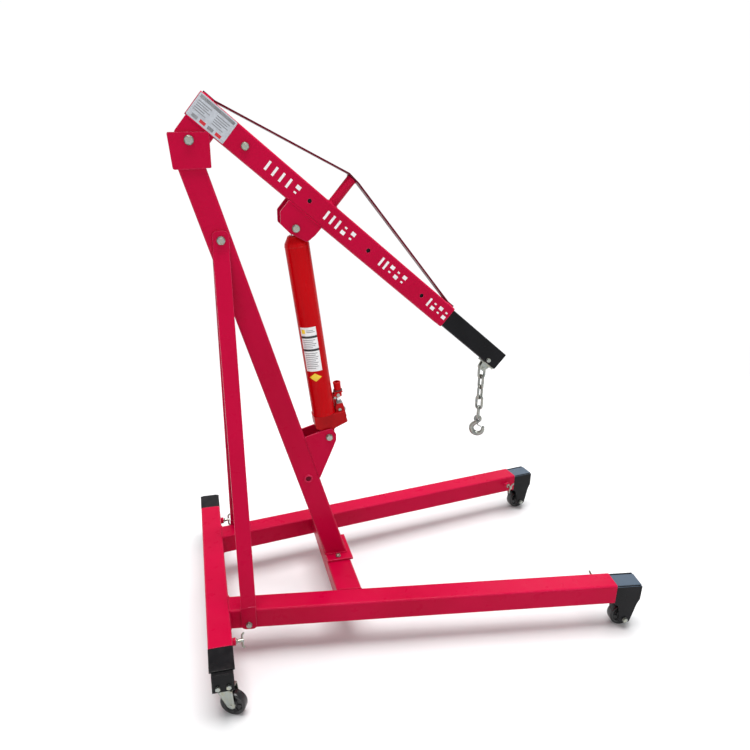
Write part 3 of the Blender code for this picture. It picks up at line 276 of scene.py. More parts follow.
def black_enamel(name, painted_reflection):
    """Black enamel on the sliding tubes, rubbed to grey along its length and at its edges; faces that point up
    get a painted bluish reflection, as strong as its second argument asks.
    """
    t = Tree(name)
    normal, edges = t.rounded(0.0014)
    drift = t.ramp(t.noise(9.0, 5.0), 0.3, 0.7)
    colour = t.mix(drift, (0.0022, 0.0022, 0.003), (0.0055, 0.0055, 0.0072))
    rubbed = t.ramp(t.noise(16.0, 6.0, 0.75, t.scaled((0.35, 3.0, 3.0))), 0.6, 0.75)
    colour = t.mix(t.times(rubbed, 0.2), colour, (0.045, 0.044, 0.046))
    worn = t.times(edges, t.ramp(t.noise(190.0, 5.0, 0.7), 0.45, 0.7))
    colour = t.mix(t.times(worn, 0.55), colour, (0.22, 0.21, 0.2))
    dust = t.times(t.ramp(t.facing_up(), 0.5, 1.0), t.ramp(t.noise(20.0, 6.0, 0.65), 0.42, 0.8))
    colour = t.mix(t.times(dust, 0.05), colour, (0.3, 0.27, 0.25))
    # painted reflection: faces that point up are lightened towards a pale blue-grey
    colour = t.mix(t.times(t.ramp(t.facing_up(), 0.8, 1.0), painted_reflection), colour, (0.075, 0.105, 0.145))
    t.bumps(normal, (t.noise(600.0, 2.0), 0.22, 0.00022), (t.noise(40.0, 3.0), 0.1, 0.001))
    rough = t.ramp(t.noise(30.0, 5.0, 0.6), 0.3, 0.75, 0.26, 0.44)
    t.gloss(0.03, 0.2, 0.13)
    return t.set(Base_Color=colour, Roughness=rough)


def polished_steel():
    """Hard-chromed rod and ground pins, with fine turning lines."""
    t = Tree("polished_steel")
    lines = t.noise(30.0, 3.0, 0.6, t.scaled((1.0, 1.0, 60.0)))
    haze = t.ramp(t.noise(35.0, 5.0, 0.6), 0.4, 0.8)
    colour = t.mix(haze, (0.74, 0.75, 0.77), (0.6, 0.59, 0.57))
    t.bumps(None, (lines, 0.12, 0.0001))
    return t.set(Base_Color=colour, Metallic=1.0, Roughness=t.ramp(lines, 0.3, 0.7, 0.1, 0.24))


def cast_red(name, deep, bright, edge):
    """The same enamel over a rough sand casting, with a painted highlight along its edges and painted shade in
    its pits.
    """
    t = Tree(name)
    normal, edges = t.rounded(0.0022)
    colour = t.mix(t.ramp(t.noise(9.0, 5.0), 0.35, 0.68), deep, bright)
    # painted highlight: a paler red along the edges, broken up by noise
    colour = t.mix(t.times(edges, t.ramp(t.noise(130.0, 4.0, 0.7), 0.4, 0.66, 0.2, 0.65)), colour, edge)
    pits = t.noise(230.0, 4.0, 0.6)
    # painted shade: the low points of the pits are darkened towards a deep red
    colour = t.mix(t.ramp(pits, 0.44, 0.34, 0.0, 0.45), colour, (0.1, 0.002, 0.004))
    t.bumps(normal, (pits, 0.42, 0.0006), (t.noise(700.0, 2.0), 0.15, 0.0002))
    t.gloss(0.04, 0.2, 0.1)
    return t.set(Base_Color=colour, Roughness=t.ramp(pits, 0.3, 0.7, 0.3, 0.48))


def moulded(name, base, scuff, roughness, bump=0.2):
    """Hard moulded plastic or phenolic: flow speckle, scuffs and grey dust."""
    t = Tree(name)
    normal, edges = t.rounded(0.001)
    speckle = t.ramp(t.noise(420.0, 4.0, 0.7), 0.42, 0.68)
    colour = t.mix(t.times(speckle, 0.5), base, scuff)
    marks = t.ramp(t.noise(70.0, 6.0, 0.75), 0.56, 0.72)
    colour = t.mix(t.times(marks, 0.35), colour, scuff)
    colour = t.mix(t.times(edges, 0.35), colour, scuff)
    t.bumps(normal, (t.noise(520.0, 3.0), bump, 0.0003), (t.noise(60.0, 4.0), 0.12, 0.0008))
    return t.set(Base_Color=colour, Roughness=t.ramp(marks, 0.0, 1.0, roughness, roughness + 0.16))


def printed(name, base, shade, roughness):
    """A printed sticker's face: faint mottling, fine grain and a dull film."""
    t = Tree(name)
    colour = t.mix(t.ramp(t.noise(60.0, 5.0, 0.65), 0.38, 0.7), base, shade)
    colour = t.mix(t.ramp(t.noise(900.0, 2.0), 0.55, 0.7, 0.0, 0.18), colour, shade)
    t.bumps(None, (t.noise(140.0, 3.0), 0.1, 0.0003), (t.noise(1500.0, 2.0), 0.06, 0.0001))
    rough = t.ramp(t.noise(90.0, 4.0), 0.35, 0.7, roughness, roughness + 0.15)
    return t.set(Base_Color=colour, Roughness=rough)


# The third colour of each enamel and of the cast red is a painted highlight along the edges; in the enamels it
# also tints the scuffs.
RED = enamel("frame_enamel", (0.405, 0.0004, 0.028), (0.465, 0.0006, 0.037), (0.88, 0.2, 0.35), 0.32, 0.02)
RAM_RED = enamel("ram_enamel", (0.42, 0.0004, 0.003), (0.49, 0.0006, 0.004), (0.85, 0.1, 0.1), 0.22, 0.03,
                 0.0012)
CAST = cast_red("cast_enamel", (0.34, 0.0006, 0.003), (0.43, 0.0008, 0.004), (0.74, 0.06, 0.06))
BLACK = black_enamel("black_enamel", 0.0)
# the black with a painted reflection on its up-facing faces
BLACK_PAINTED_REFLECTION = black_enamel("black_enamel_painted_reflection", 0.85)
ZINC = plated("zinc_plate", (0.33, 0.36, 0.34), (0.36, 0.36, 0.28), 0.26)
# painted shade: a darker zinc for the washers under the bolts' heads and nuts, standing in for the shadow ring
# round them
WASHER_PAINTED_SHADE = plated("washer_plate_painted_shade", (0.12, 0.13, 0.12), (0.15, 0.14, 0.11), 0.36)
CHAIN_ZINC = plated("chain_zinc", (0.24, 0.26, 0.25), (0.33, 0.33, 0.29), 0.22, 0.0005)
STEEL = polished_steel()
WHEEL = moulded("wheel_phenolic", (0.004, 0.004, 0.005), (0.014, 0.014, 0.015), 0.24)
COLLAR = moulded("collar_plastic", (0.012, 0.012, 0.014), (0.05, 0.05, 0.05), 0.38)
SILVER = printed("sticker_silver", (0.47, 0.5, 0.54), (0.38, 0.4, 0.44), 0.32)
WHITE = printed("sticker_white", (0.8, 0.8, 0.8), (0.68, 0.69, 0.7), 0.34)
YELLOW = printed("sticker_yellow", (0.86, 0.62, 0.02), (0.7, 0.48, 0.02), 0.36)
INK = printed("sticker_ink", (0.012, 0.012, 0.014), (0.03, 0.03, 0.035), 0.42)
INK_RED = printed("sticker_red_ink", (0.55, 0.01, 0.02), (0.42, 0.01, 0.02), 0.4)
INK_SOFT = printed("sticker_grey_ink", (0.16, 0.165, 0.18), (0.26, 0.27, 0.28), 0.42)
# painted shade: a dark copy of the frame's red enamel, for the truss strap, which stands in shadow, and for the
# bore of the post's weld nuts
RED_PAINTED_SHADE = enamel("enamel_painted_shade", (0.085, 0.0008, 0.01), (0.13, 0.0012, 0.014), (0.26, 0.02, 0.05), 0.32,
                   0.02)
CAST_GREY = moulded("pump_grey", (0.2, 0.2, 0.205), (0.36, 0.36, 0.35), 0.4)

DRESS = {"frame_red": RED, "ram_red": RAM_RED, "black_paint": BLACK, "zinc_plate": ZINC, "ground_steel": STEEL,
         "wheel_rubber": WHEEL}
for part in frame["record"]["subparts"]:
    mesh = NODES[part["node"]].data
    mesh.materials.clear()
    mesh.materials.append(DRESS[part["material_slot"]])
NODES["ram_base"].data.materials[0] = CAST
# the truss strap gets the dark red, as painted shade
NODES["truss_strap"].data.materials[0] = RED_PAINTED_SHADE
# the front carriers take the black with the painted reflection on their tops
for name in SIDES:
    NODES["front_carrier_" + name].data.materials[0] = BLACK_PAINTED_REFLECTION


# ---- mesh tools
def circle(count):
    """(cos, sin) pairs once round."""
    return [(math.cos(2 * math.pi * i / count), math.sin(2 * math.pi * i / count)) for i in range(count)]


def add(name, data):
    """A new object in the scene."""
    obj = bpy.data.objects.new(name, data)
    bpy.context.scene.collection.objects.link(obj)
    return obj


def piece(name, bm, mats, body, angle=32.0, replaces=()):
    """Turn a bmesh in the crane's frame into a visible piece that rides on a body."""
    bmesh.ops.recalc_face_normals(bm, faces=bm.faces)
    mesh = bpy.data.meshes.new(name)
    bm.to_mesh(mesh)
    bm.free()
    mats = mats if isinstance(mats, list) else [mats]
    for mat in mats:
        mesh.materials.append(mat)
    mesh.shade_smooth()
    mesh.set_sharp_from_angle(angle=math.radians(angle))
    obj = add(name, mesh)
    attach(obj, body)
    if replaces:
        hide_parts(*replaces)


def axis_matrix(origin, direction, hint=(0, 0, 1)):
    """Local Z along a direction, local X as near the hint as it can be."""
    z = Vector(direction).normalized()
    x = Vector(hint) - z * z.dot(Vector(hint))
    if x.length < 1e-4:
        x = Vector((1, 0, 0)) - z * z.x
    x.normalize()
    y = z.cross(x)
    return Matrix.Translation(Vector(origin)) @ Matrix((x, y, z)).transposed().to_4x4()


def rings(bm, loops, cyclic=False, material=0):
    """Skin a run of equal rings of points, capped at both ends unless it closes on itself."""
    rows = [[bm.verts.new(p) for p in loop] for loop in loops]
    count = len(rows[0])
    pairs = list(zip(rows, rows[1:]))
    if cyclic:
        pairs.append((rows[-1], rows[0]))
    for a, b in pairs:
        for i in range(count):
            j = (i + 1) % count
            bm.faces.new((a[i], a[j], b[j], b[i])).material_index = material
    if not cyclic:
        bm.faces.new(rows[0][::-1]).material_index = material
        bm.faces.new(rows[-1]).material_index = material


def lathe(bm, profile, matrix, steps=48, material=0, closed=False):
    """Turn a (radius, height) profile: a closed one makes a ring, an open one starts and ends on the axis."""
    columns = []
    for radius, height in profile:
        spots = circle(steps) if radius > 1e-7 else [(0, 0)]
        columns.append([bm.verts.new(matrix @ Vector((radius * c, radius * s, height))) for c, s in spots])
    pairs = list(zip(columns, columns[1:]))
    if closed:
        pairs.append((columns[-1], columns[0]))
    for a, b in pairs:
        for i in range(steps):
            j = (i + 1) % steps
            corners = [a[i % len(a)], a[j % len(a)], b[j % len(b)], b[i % len(b)]]
            unique = list(dict.fromkeys(corners))
            if len(unique) >= 3:
                bm.faces.new(unique).material_index = material


def tube(bm, points, radii, sides, cyclic=False, wrap=False):
    """A round bar along points; with wrap, the tangents at its seam look past it."""
    count = len(points)
    loops = []
    normal = None
    for i, (p, r) in enumerate(zip(points, radii)):
        if wrap:
            tangent = (points[(i + 1) % count] - points[i - 1]).normalized()
        else:
            tangent = (points[min(i + 1, count - 1)] - points[max(i - 1, 0)]).normalized()
        if normal is None:
            normal = tangent.orthogonal().normalized()
        normal = (normal - tangent * tangent.dot(normal)).normalized()
        side = tangent.cross(normal)
        loops.append([p + (normal * c + side * s) * r for c, s in circle(sides)])
    rings(bm, loops, cyclic)


def sweep(bm, points, radius, sides=12, cyclic=False):
    """A round bar; radius is a number, or a function of 0..1 along it."""
    last = max(len(points) - 1, 1)
    radii = [radius(i / last) if callable(radius) else radius for i in range(len(points))]
    tube(bm, points, radii, sides, cyclic, cyclic)


def box(bm, matrix, size, bevel=0.0, material=0):
    made = bmesh.ops.create_cube(bm, size=1.0, matrix=matrix @ Matrix.Diagonal((*size, 1.0)))
    for face in {f for v in made["verts"] for f in v.link_faces}:
        face.material_index = material
    if bevel:
        edges = {e for v in made["verts"] for e in v.link_edges}
        bmesh.ops.bevel(bm, geom=list(edges), offset=bevel, segments=2, affect="EDGES", profile=0.5)


def plate(bm, outline, matrix, thickness, bevel):
    """A flat plate from an outline in local XY, centred on local Z, with bevelled rims."""
    count = len(outline)
    middle = Vector((sum(p[0] for p in outline) / count, sum(p[1] for p in outline) / count))
    h = thickness / 2
    loops = []
    layers = [(-h, bevel), (h, bevel)]
    if bevel:
        layers[1:1] = [(-h + bevel, 0.0), (h - bevel, 0.0)]
    for z, inset in layers:
        rim = [p + (middle - p).normalized() * inset for p in outline]
        loops.append([matrix @ Vector((q.x, q.y, z)) for q in rim])
    rings(bm, loops)


def rounded(points, radii, steps=5):
    """An outline with each corner turned into an arc."""
    outline = []
    for i, (corner, radius) in enumerate(zip(points, radii)):
        here = Vector(corner)
        back = (Vector(points[i - 1]) - here).normalized()
        ahead = (Vector(points[(i + 1) % len(points)]) - here).normalized()
        half = back.angle(ahead) / 2
        centre = here + (back + ahead).normalized() * (radius / math.sin(half))
        start = here + back * (radius / math.tan(half)) - centre
        end = here + ahead * (radius / math.tan(half)) - centre
        turn = start.angle_signed(end)
        for step in range(steps + 1):
            outline.append(centre + Matrix.Rotation(-turn * step / steps, 2) @ start)
    return outline


def hex_head(bm, matrix, across, height):
    """A hexagon head on local Z=0, with the turned chamfer that rounds its corners off."""
    steps = 48
    apothem = across / 2
    rim = apothem * 0.95
    low, high, top = [], [], []
    for i in range(steps):
        a = 2 * math.pi * i / steps
        b = (a + math.pi / 6) % (math.pi / 3) - math.pi / 6
        r = apothem / math.cos(b)
        drop = (r - rim) * math.tan(math.radians(30))
        c, s = math.cos(a), math.sin(a)
        low.append(matrix @ Vector((r * c, r * s, 0)))
        high.append(matrix @ Vector((r * c, r * s, height - drop)))
        top.append(matrix @ Vector((rim * c, rim * s, height)))
    rings(bm, [low, high, top])


def washer(bm, matrix, outer, inner, thick, material=0):
    b = min(thick * 0.3, 0.0005)
    lathe(bm, [(inner, thick), (outer - b, thick), (outer, thick - b), (outer, b), (outer - b, 0), (inner, 0)],
          matrix, 40, material, closed=True)


def thread(bm, matrix, radius, length, pitch):
    """A threaded end that stands up from local Z=0."""
    profile = [(0.0, length), (radius * 0.78, length), (radius * 0.96, length - pitch * 0.6)]
    z = length - pitch
    while z > 0:
        profile += [(radius * 0.86, z + pitch * 0.25), (radius, z - pitch * 0.25)]
        z -= pitch
    profile += [(radius, 0.0), (0.0, 0.0)]
    falling = [profile[0]]
    for r, height in profile[1:]:
        falling.append((r, min(height, falling[-1][1])))
    lathe(bm, falling, matrix, 28)


def shank(bm, start, end, radius):
    length = (end - start).length
    matrix = axis_matrix(start, end - start)
    lathe(bm, [(0.0, length), (radius, length), (radius, 0.0), (0.0, 0.0)], matrix, 32)


def bead(bm, place, spots, radius, seed, closed=False):
    """A weld bead of overlapping ripples through spots that place() puts in the crane's frame."""
    points = [place(*spot) for spot in spots]
    if closed:
        points.append(points[0])
    path = []
    for a, b in zip(points, points[1:]):
        steps = max(2, int((b - a).length / BEAD_STEP))
        path += [a.lerp(b, i / steps) for i in range(steps)]
    if not closed:
        path.append(points[-1])
    radii = []
    travelled = 0.0
    for i, p in enumerate(path):
        travelled += (p - path[max(i - 1, 0)]).length
        phase = travelled / BEAD_RIPPLE + seed * 0.37
        saw = phase - math.floor(phase)
        wobble = noise.noise(Vector((p.x * 90, p.y * 90, p.z * 90 + seed)))
        r = radius * (0.88 + 0.22 * (1 - saw) ** 0.7 + 0.16 * wobble)
        if not closed:
            r *= min(1.0, 0.35 + 0.65 * min(i, len(path) - 1 - i) / 3.0)
        radii.append(r)
    tube(bm, path, radii, 8, closed)


# ---- bolts
def bolt_piece(name, body, seat, tip, across, shank_r, node, nut=False):
    """Washer, chamfered head and shank from seat to tip, and with nut a washer, nut and thread at the tip."""
    out = (seat - tip).normalized()
    head_height, nut_height = across * 0.42, across * 0.4
    bm = bmesh.new()
    near = axis_matrix(seat + out * GAP, out, (0.3, 0.2, 1.0))
    # the washers take the darker zinc, as painted shade round the head and the nut
    washer(bm, near, across * 0.62, shank_r * 0.98, WASHER_THICK, 1)
    head = near @ shift(0, 0, WASHER_THICK)
    hex_head(bm, head, across, head_height - 0.0004)
    lathe(bm, [(0.0, head_height - 0.0001), (across * 0.3, head_height - 0.0001),
               (across * 0.33, head_height - 0.0006), (0.0, head_height - 0.0008)], head, 36)
    shank(bm, seat + out * 0.002, tip, shank_r)
    if nut:
        far = axis_matrix(tip - out * GAP, -out, (0.1, 0.4, 1.0))
        washer(bm, far, across * 0.62, shank_r * 0.98, WASHER_THICK, 1)
        hex_head(bm, far @ shift(0, 0, WASHER_THICK), across, nut_height - 0.0004)
        thread(bm, far @ shift(0, 0, 0.0015), shank_r, across * 0.45 + 0.0012, 0.0016)
    piece(name, bm, [ZINC, WASHER_PAINTED_SHADE], body, 28.0, replaces=[node])


def through_bolt(name, body, matrix, spot, half, across, shank_r, node):
    """A bolt across the crane at a spot (x, z) of a matrix, its head at y = half and its nut at y = -half."""
    seat, tip = (matrix @ Vector((spot[0], y, spot[1])) for y in (half, -half))
    bolt_piece(name, body, seat, tip, across, shank_r, node, nut=True)


BRACKET_SEAT = TUBE / 2 + 0.0006 + EAR + GAP
BRACE_SEAT = TUBE / 2 + 3 * GAP + BRACE_THICK
EAR_SEAT = TUBE / 2 + GAP
INNER_SEAT = INNER / 2 + GAP
through_bolt("pivot_bolt", "base", CRANE, PIVOT, -BRACKET_SEAT, 0.02, 0.008, "boom_pivot_bolt")
through_bolt("brace_upper_bolt", "base", CRANE, BRACE_TOP, BRACE_SEAT, 0.019, 0.008, "brace_top_bolt")
through_bolt("ram_lower_pin", "base", CRANE, RAM_FOOT, -EAR_SEAT, 0.0175, 0.008, "ram_foot_pin")
for side, end in ((-1, "head"), (1, "nut")):
    bolt_piece("upper_pin_" + end, "boom", boom(*RAM_TOP, side * EAR_SEAT),
               boom(*RAM_TOP, side * (TUBE / 2 - EAR + 0.0008)), 0.018, 0.008, "ram_top_bolt_" + end)
through_bolt("hook_bolt", "extension", BOOM, HOOK_PIN, -INNER_SEAT, 0.012, 0.005, "hook_pin")
bolt_piece("lock_bolt", "lock_bolt", boom(LOCK_FIRST, BOOM_AXIS_V, -EAR_SEAT),
           boom(LOCK_FIRST, BOOM_AXIS_V, -(INNER / 2 + 0.0006)), 0.017, 0.006, "boom_lock_bolt")


def side_bolts(name, side):
    """The foot plate's bolt, the brace's lower bolt and the front axle with its spacers."""
    top = BEAM_Z + TUBE / 2 + 2 * GAP + FOOT_PLATE_THICK
    bolt_piece("foot_bolt_" + name + "_detail", "base", crane(CROSS_X, side * FOOT_BOLT_Y, top),
               crane(CROSS_X, side * FOOT_BOLT_Y, top - 0.03), 0.014, 0.006, "foot_bolt_" + name)
    face = LEG_ROOT_Y + math.tan(SPLAY) * (BRACE_FOOT[0] - TUBE / 2) + TUBE / 2 / math.cos(SPLAY)
    out = Vector((-math.sin(SPLAY), side * math.cos(SPLAY), 0.0))
    seat = crane(BRACE_FOOT[0], side * face, BRACE_FOOT[1]) + out * (BRACE_THICK + 3 * GAP)
    bolt_piece("brace_lower_bolt_" + name, "base", seat, seat - out * 0.022, 0.0155, 0.006,
               "brace_foot_bolt_" + name)
    through_bolt("wheel_bolt_" + name, "front_carrier_" + name, LEG[name], FRONT_AXLE,
                 side * (INNER / 2 + FLANK + GAP), 0.014, 0.005, "front_axle_" + name)
    bm = bmesh.new()
    for flank in (1, -1):
        m = axis_matrix(LEG[name] @ Vector((FRONT_AXLE[0], flank * 0.0166, FRONT_AXLE[1])),
                        LEG[name].to_3x3() @ Vector((0, flank, 0)))
        lathe(bm, [(0.0052, 0.0126), (0.0084, 0.0126), (0.009, 0.012), (0.009, 0.0006), (0.0084, 0.0),
                   (0.0052, 0.0)], m, 28, closed=True)
    piece("wheel_spacer_" + name, bm, ZINC, "front_carrier_" + name)


for name, side in SIDES.items():
    side_bolts(name, side)


# ---- welds
def leg_inner_face(x, side):
    """The leg's inner face, at a place along the crane."""
    return side * (LEG_ROOT_Y + math.tan(SPLAY) * (x - TUBE / 2) - TUBE / 2 / math.cos(SPLAY))


def frame_welds():
    """Beads round the legs' roots, the crossmember, the post's foot, the head bracket and the ram bracket."""
    bm = bmesh.new()
    half = TUBE / 2
    low, top = BEAM_Z - half, BEAM_Z + half
    lateral = half / math.cos(SPLAY)
    for side in SIDES.values():
        x = half + 0.0006
        near, far = side * (LEG_ROOT_Y - lateral), side * (LEG_ROOT_Y + lateral)
        bead(bm, crane, [(x, near, low), (x, near, top - 0.001), (x, far, top - 0.001), (x, far, low)],
             0.0026, 1 + side)
        ends = [(x, leg_inner_face(x, side)) for x in (CROSS_X - CROSS_WIDTH / 2, CROSS_X + CROSS_WIDTH / 2)]
        for face, (x, y) in zip((-1, 1), ends):
            bead(bm, crane, [(x, y, top - 0.058), (x, y, top - 0.003)], 0.0026, 5 + face)
        bead(bm, crane, [(x, y, top - 0.0012) for x, y in ends], 0.0024, 9 + side)
    z = top + 0.0092
    middle, reach = post_x(z), half / math.cos(POST_LEAN)
    bead(bm, crane, [(middle - reach, -half, z), (middle + reach, -half, z), (middle + reach, half, z),
                     (middle - reach, half, z)], 0.003, 3, closed=True)
    for side in SIDES.values():
        y = side * (half + 0.0012)
        bead(bm, crane, [(-0.002, y, 1.435), (0.068, y, 1.437)], 0.0028, 4)
        y = side * (half - 0.0008)
        bead(bm, crane, [(post_x(z) + reach, y, z) for z in (0.484, 0.63)], 0.0026, 6 + side)
    piece("frame_welds", bm, RED, "base", 60.0)


def jib_welds():
    """Beads along the pivot lug, the ram's ears, the strap's ends and round the truss post."""
    bm = bmesh.new()
    half = TUBE / 2
    under = BOOM_AXIS_V - half - 0.0004
    top = BOOM_AXIS_V + half
    for side in SIDES.values():
        for start, end, inset, seed in ((-0.04, 0.044, 0.001, 2), (0.293, 0.409, 0.0008, 4)):
            bead(bm, boom, [(u, under, side * (half - inset)) for u in (start, end)], 0.0026, seed + side)
    for side in SIDES.values():
        for start, end, seed in ((-0.038, -0.006, 7), (0.869, 0.891, 8)):
            bead(bm, boom, [(u, top + 0.001, side * 0.0165) for u in (start, end)], 0.0024, seed)
    bead(bm, boom, [(TRUSS_U + 0.0153 * c, top + 0.0008, 0.0153 * s) for c, s in circle(20)],
         0.0026, 11, closed=True)
    crest = top + GAP + TRUSS_RISE
    bead(bm, boom, [(TRUSS_U + 0.0143 * c, crest - 0.0042 - 0.001 * c, 0.0143 * s) for c, s in circle(18)],
         0.0022, 12, closed=True)
    piece("jib_welds", bm, RED, "boom", 60.0)


def carrier_welds(name, side):
    """Beads along the plates of one rear and one front carrier."""
    bm = bmesh.new()
    for face in (1, -1):
        x = face * (INNER / 2 + 0.0002)
        bead(bm, crane, [(x, side * (BEAM_HALF + y), BEAM_Z + 0.029) for y in (0.004, 0.085)],
             0.0022, 3 + face)
    piece("rear_carrier_welds_" + name, bm, BLACK, "rear_carrier_" + name, 60.0)
    bm = bmesh.new()
    for face in (1, -1):
        for margin, inset, z, seed in ((0.004, 0.0008, 0.0292, 5), (0.006, -0.0012, -0.0304, 6)):
            ends = (LEG_LENGTH + margin, LEG_LENGTH + FRONT_REACH - (0.003 if z > 0 else margin))
            bead(bm, lambda *p: LEG[name] @ Vector(p), [(s, face * (INNER / 2 + inset), z) for s in ends],
                 0.0022, seed + face)
    piece("front_carrier_welds_" + name, bm, BLACK, "front_carrier_" + name, 60.0)


frame_welds()
jib_welds()
for name, side in SIDES.items():
    carrier_welds(name, side)


# ---- wheels, casters and clamp screws
def mirrored(profile):
    return [(radius, -height) for radius, height in profile[::-1]]


def wheel_piece(name, wheel, matrix, half, bore):
    """Tread with worn shoulders, dished sides with ribs, and a bearing boss."""
    bm = bmesh.new()
    r = WHEEL_RADIUS
    rim = [(r - 0.0062, half), (r - 0.003, half - 0.0004), (r - 0.0012, half - 0.0018),
           (r - 0.0002, half - 0.0048), (r, half - 0.0075)]
    side = [(r - 0.0082, -half + 0.0003), (r - 0.01, -half + 0.0018), (r - 0.0118, -half + 0.0048),
            (0.015, -half + 0.0048), (0.0135, -half + 0.0022), (0.0125, -half + 0.0004), (0.0118, -half),
            (bore, -half)]
    profile = rim + mirrored(rim) + side + mirrored(side)
    lathe(bm, profile, matrix, 96, closed=True)
    for k in range(6):
        for face in (1, -1):
            turn = matrix @ Matrix.Rotation(math.radians(60 * k), 4, "Z")
            box(bm, turn @ shift(0.0195, 0, face * (half - 0.0036)), (0.014, 0.003, 0.0026), 0.0006)
    piece(name, bm, WHEEL, wheel, 30.0, replaces=[wheel])
    bm = bmesh.new()
    for flip in (0, math.pi):
        m = matrix @ Matrix.Rotation(flip, 4, "X") @ shift(0, 0, half - 0.0009)
        washer(bm, m, 0.0098, bore, 0.0014)
    piece(name + "_bush", bm, ZINC, wheel)


def caster_piece(name):
    """A swivel with its ball race, two pressed fork sides, and the axle with its domed ends."""
    m = CASTER[name]
    body = "caster_fork_" + name
    top = BEAM_Z - INNER / 2 - 0.00425 - 0.0006 - WHEEL_RADIUS
    low = top - 0.012
    fork_y = 0.02
    bm = bmesh.new()
    lathe(bm, [(0.0, top), (0.017, top), (0.0188, top - 0.001), (0.0192, top - 0.0028), (0.0178, top - 0.0044),
               (0.0205, top - 0.0052), (0.0222, top - 0.0066), (0.0222, top - 0.01), (0.0205, low),
               (0.0, low)], m, 56)
    lathe(bm, [(0.0, top + 0.0079), (0.0052, top + 0.0079), (0.006, top + 0.007), (0.006, top - 0.001),
               (0.0, top - 0.001)], m, 28)
    lathe(bm, [(0.0, low + 0.0005), (0.0075, low + 0.0005), (0.0082, low - 0.0012), (0.007, low - 0.0046),
               (0.0, low - 0.0052)], m, 28)
    outline = rounded([(-0.016, low - 0.0008), (0.017, -0.0055), (0.028, -0.0105), (0.039, -0.0045),
                       (0.0335, low - 0.0008)], [0.004, 0.01, 0.01, 0.01, 0.004], 6)
    for s in (1, -1):
        plate(bm, outline, m @ shift(0, s * (fork_y - 0.0014), 0) @ SIDEWAYS, 0.0027, 0.0005)
        for high_x, low_x, low_z in ((-0.0085, 0.018, 0.004), (0.03, 0.0325, 0.006)):
            y = s * (fork_y - 0.0004)
            sweep(bm, [m @ Vector((high_x, y, low - 0.004)), m @ Vector((low_x, y, low_z))], 0.0013, 8)
    box(bm, m @ shift(0.00875, 0, low - 0.0007), (0.0485, 2 * fork_y - 0.0002, 0.003), 0.0011)
    for s in (1, -1):
        end = axis_matrix(m @ Vector((CASTER_TRAIL, s * 0.0198, 0)), m.to_3x3() @ Vector((0, s, 0)))
        lathe(bm, [(0.0, 0.0036), (0.0035, 0.0034), (0.006, 0.0022), (0.0072, 0.0004), (0.0072, -0.0004),
                   (0.0, -0.0004)], end, 28)
    shank(bm, m @ Vector((CASTER_TRAIL, -fork_y, 0)), m @ Vector((CASTER_TRAIL, fork_y, 0)), 0.0039)
    piece("caster_frame_" + name, bm, ZINC, body, 30.0, replaces=[body])
    bm = bmesh.new()
    for c, s in circle(26):
        bmesh.ops.create_icosphere(bm, subdivisions=2, radius=0.0014,
                                   matrix=m @ shift(0.0196 * c, 0.0196 * s, top - 0.0046))
    piece("caster_balls_" + name, bm, STEEL, body)


for name in SIDES:
    wheel_piece("front_roller_" + name, "front_wheel_" + name,
                LEG[name] @ shift(FRONT_AXLE[0], 0, FRONT_AXLE[1]) @ SIDEWAYS, 0.0155, 0.0056)
    wheel_piece("rear_roller_" + name, "caster_wheel_" + name,
                CASTER[name] @ shift(CASTER_TRAIL, 0, 0) @ SIDEWAYS, 0.0135, 0.0046)
    caster_piece(name)


def clamp_screw(name, node, seat, out):
    """A threaded shank with a lock nut and washer, and a cross bar whose ends are bent outwards."""
    out = out.normalized()
    bm = bmesh.new()
    m = axis_matrix(seat, out)
    thread(bm, m @ shift(0, 0, -0.0043), 0.0049, 0.0205, 0.0015)
    lathe(bm, [(0.0, 0.0338), (0.004, 0.0338), (0.0049, 0.0329), (0.0052, 0.025), (0.0052, 0.015),
               (0.0, 0.015)], m, 28)
    washer(bm, m @ shift(0, 0, 0.0108), 0.008, 0.0048, 0.0016)
    hex_head(bm, m @ shift(0, 0, 0.0123), 0.0125, 0.0034)
    side = out.cross(Vector((0, 0, 1))).normalized()
    lean = (Vector((0, 0, 1)) * 0.9 - side * 0.43).normalized()
    middle = seat + out * 0.029
    half_bar = [(0.011, -0.0003), (0.015, 0.0), (0.0185, 0.003), (0.022, 0.006)]
    bar = [(-along, rise) for along, rise in half_bar[::-1]] + [(0.0, 0.0)] + half_bar
    sweep(bm, [middle + lean * along + out * rise for along, rise in bar],
          lambda t: 0.0032 if 0.02 < t < 0.98 else 0.0026, 14)
    piece(name, bm, ZINC, node, 35.0, replaces=[node])


for name, side in SIDES.items():
    clamp_screw("rear_clamp_" + name, "rear_thumb_screw_" + name, crane(TUBE / 2, side * SCREW_Y, BEAM_Z),
                Vector((1, 0, 0)))
    clamp_screw("front_clamp_" + name, "front_thumb_screw_" + name,
                LEG[name] @ Vector((SCREW_S, -side * TUBE / 2, 0)),
                LEG[name].to_3x3() @ Vector((0, -side, 0)))


# ---- chain and hook
CHAIN_TOP = boom(*CHAIN_PIN)
LINK_REACH = (LINK_PITCH + GAP + 2 * WIRE) / 2
FIRST_LINK_Z = CHAIN_TOP.z + 0.004 + WIRE + GAP - LINK_REACH
CROWN = Vector((CHAIN_TOP.x, 0, FIRST_LINK_Z - (LINK_COUNT - 1) * LINK_PITCH - LINK_REACH))
UP = Vector((0, 0, 1))


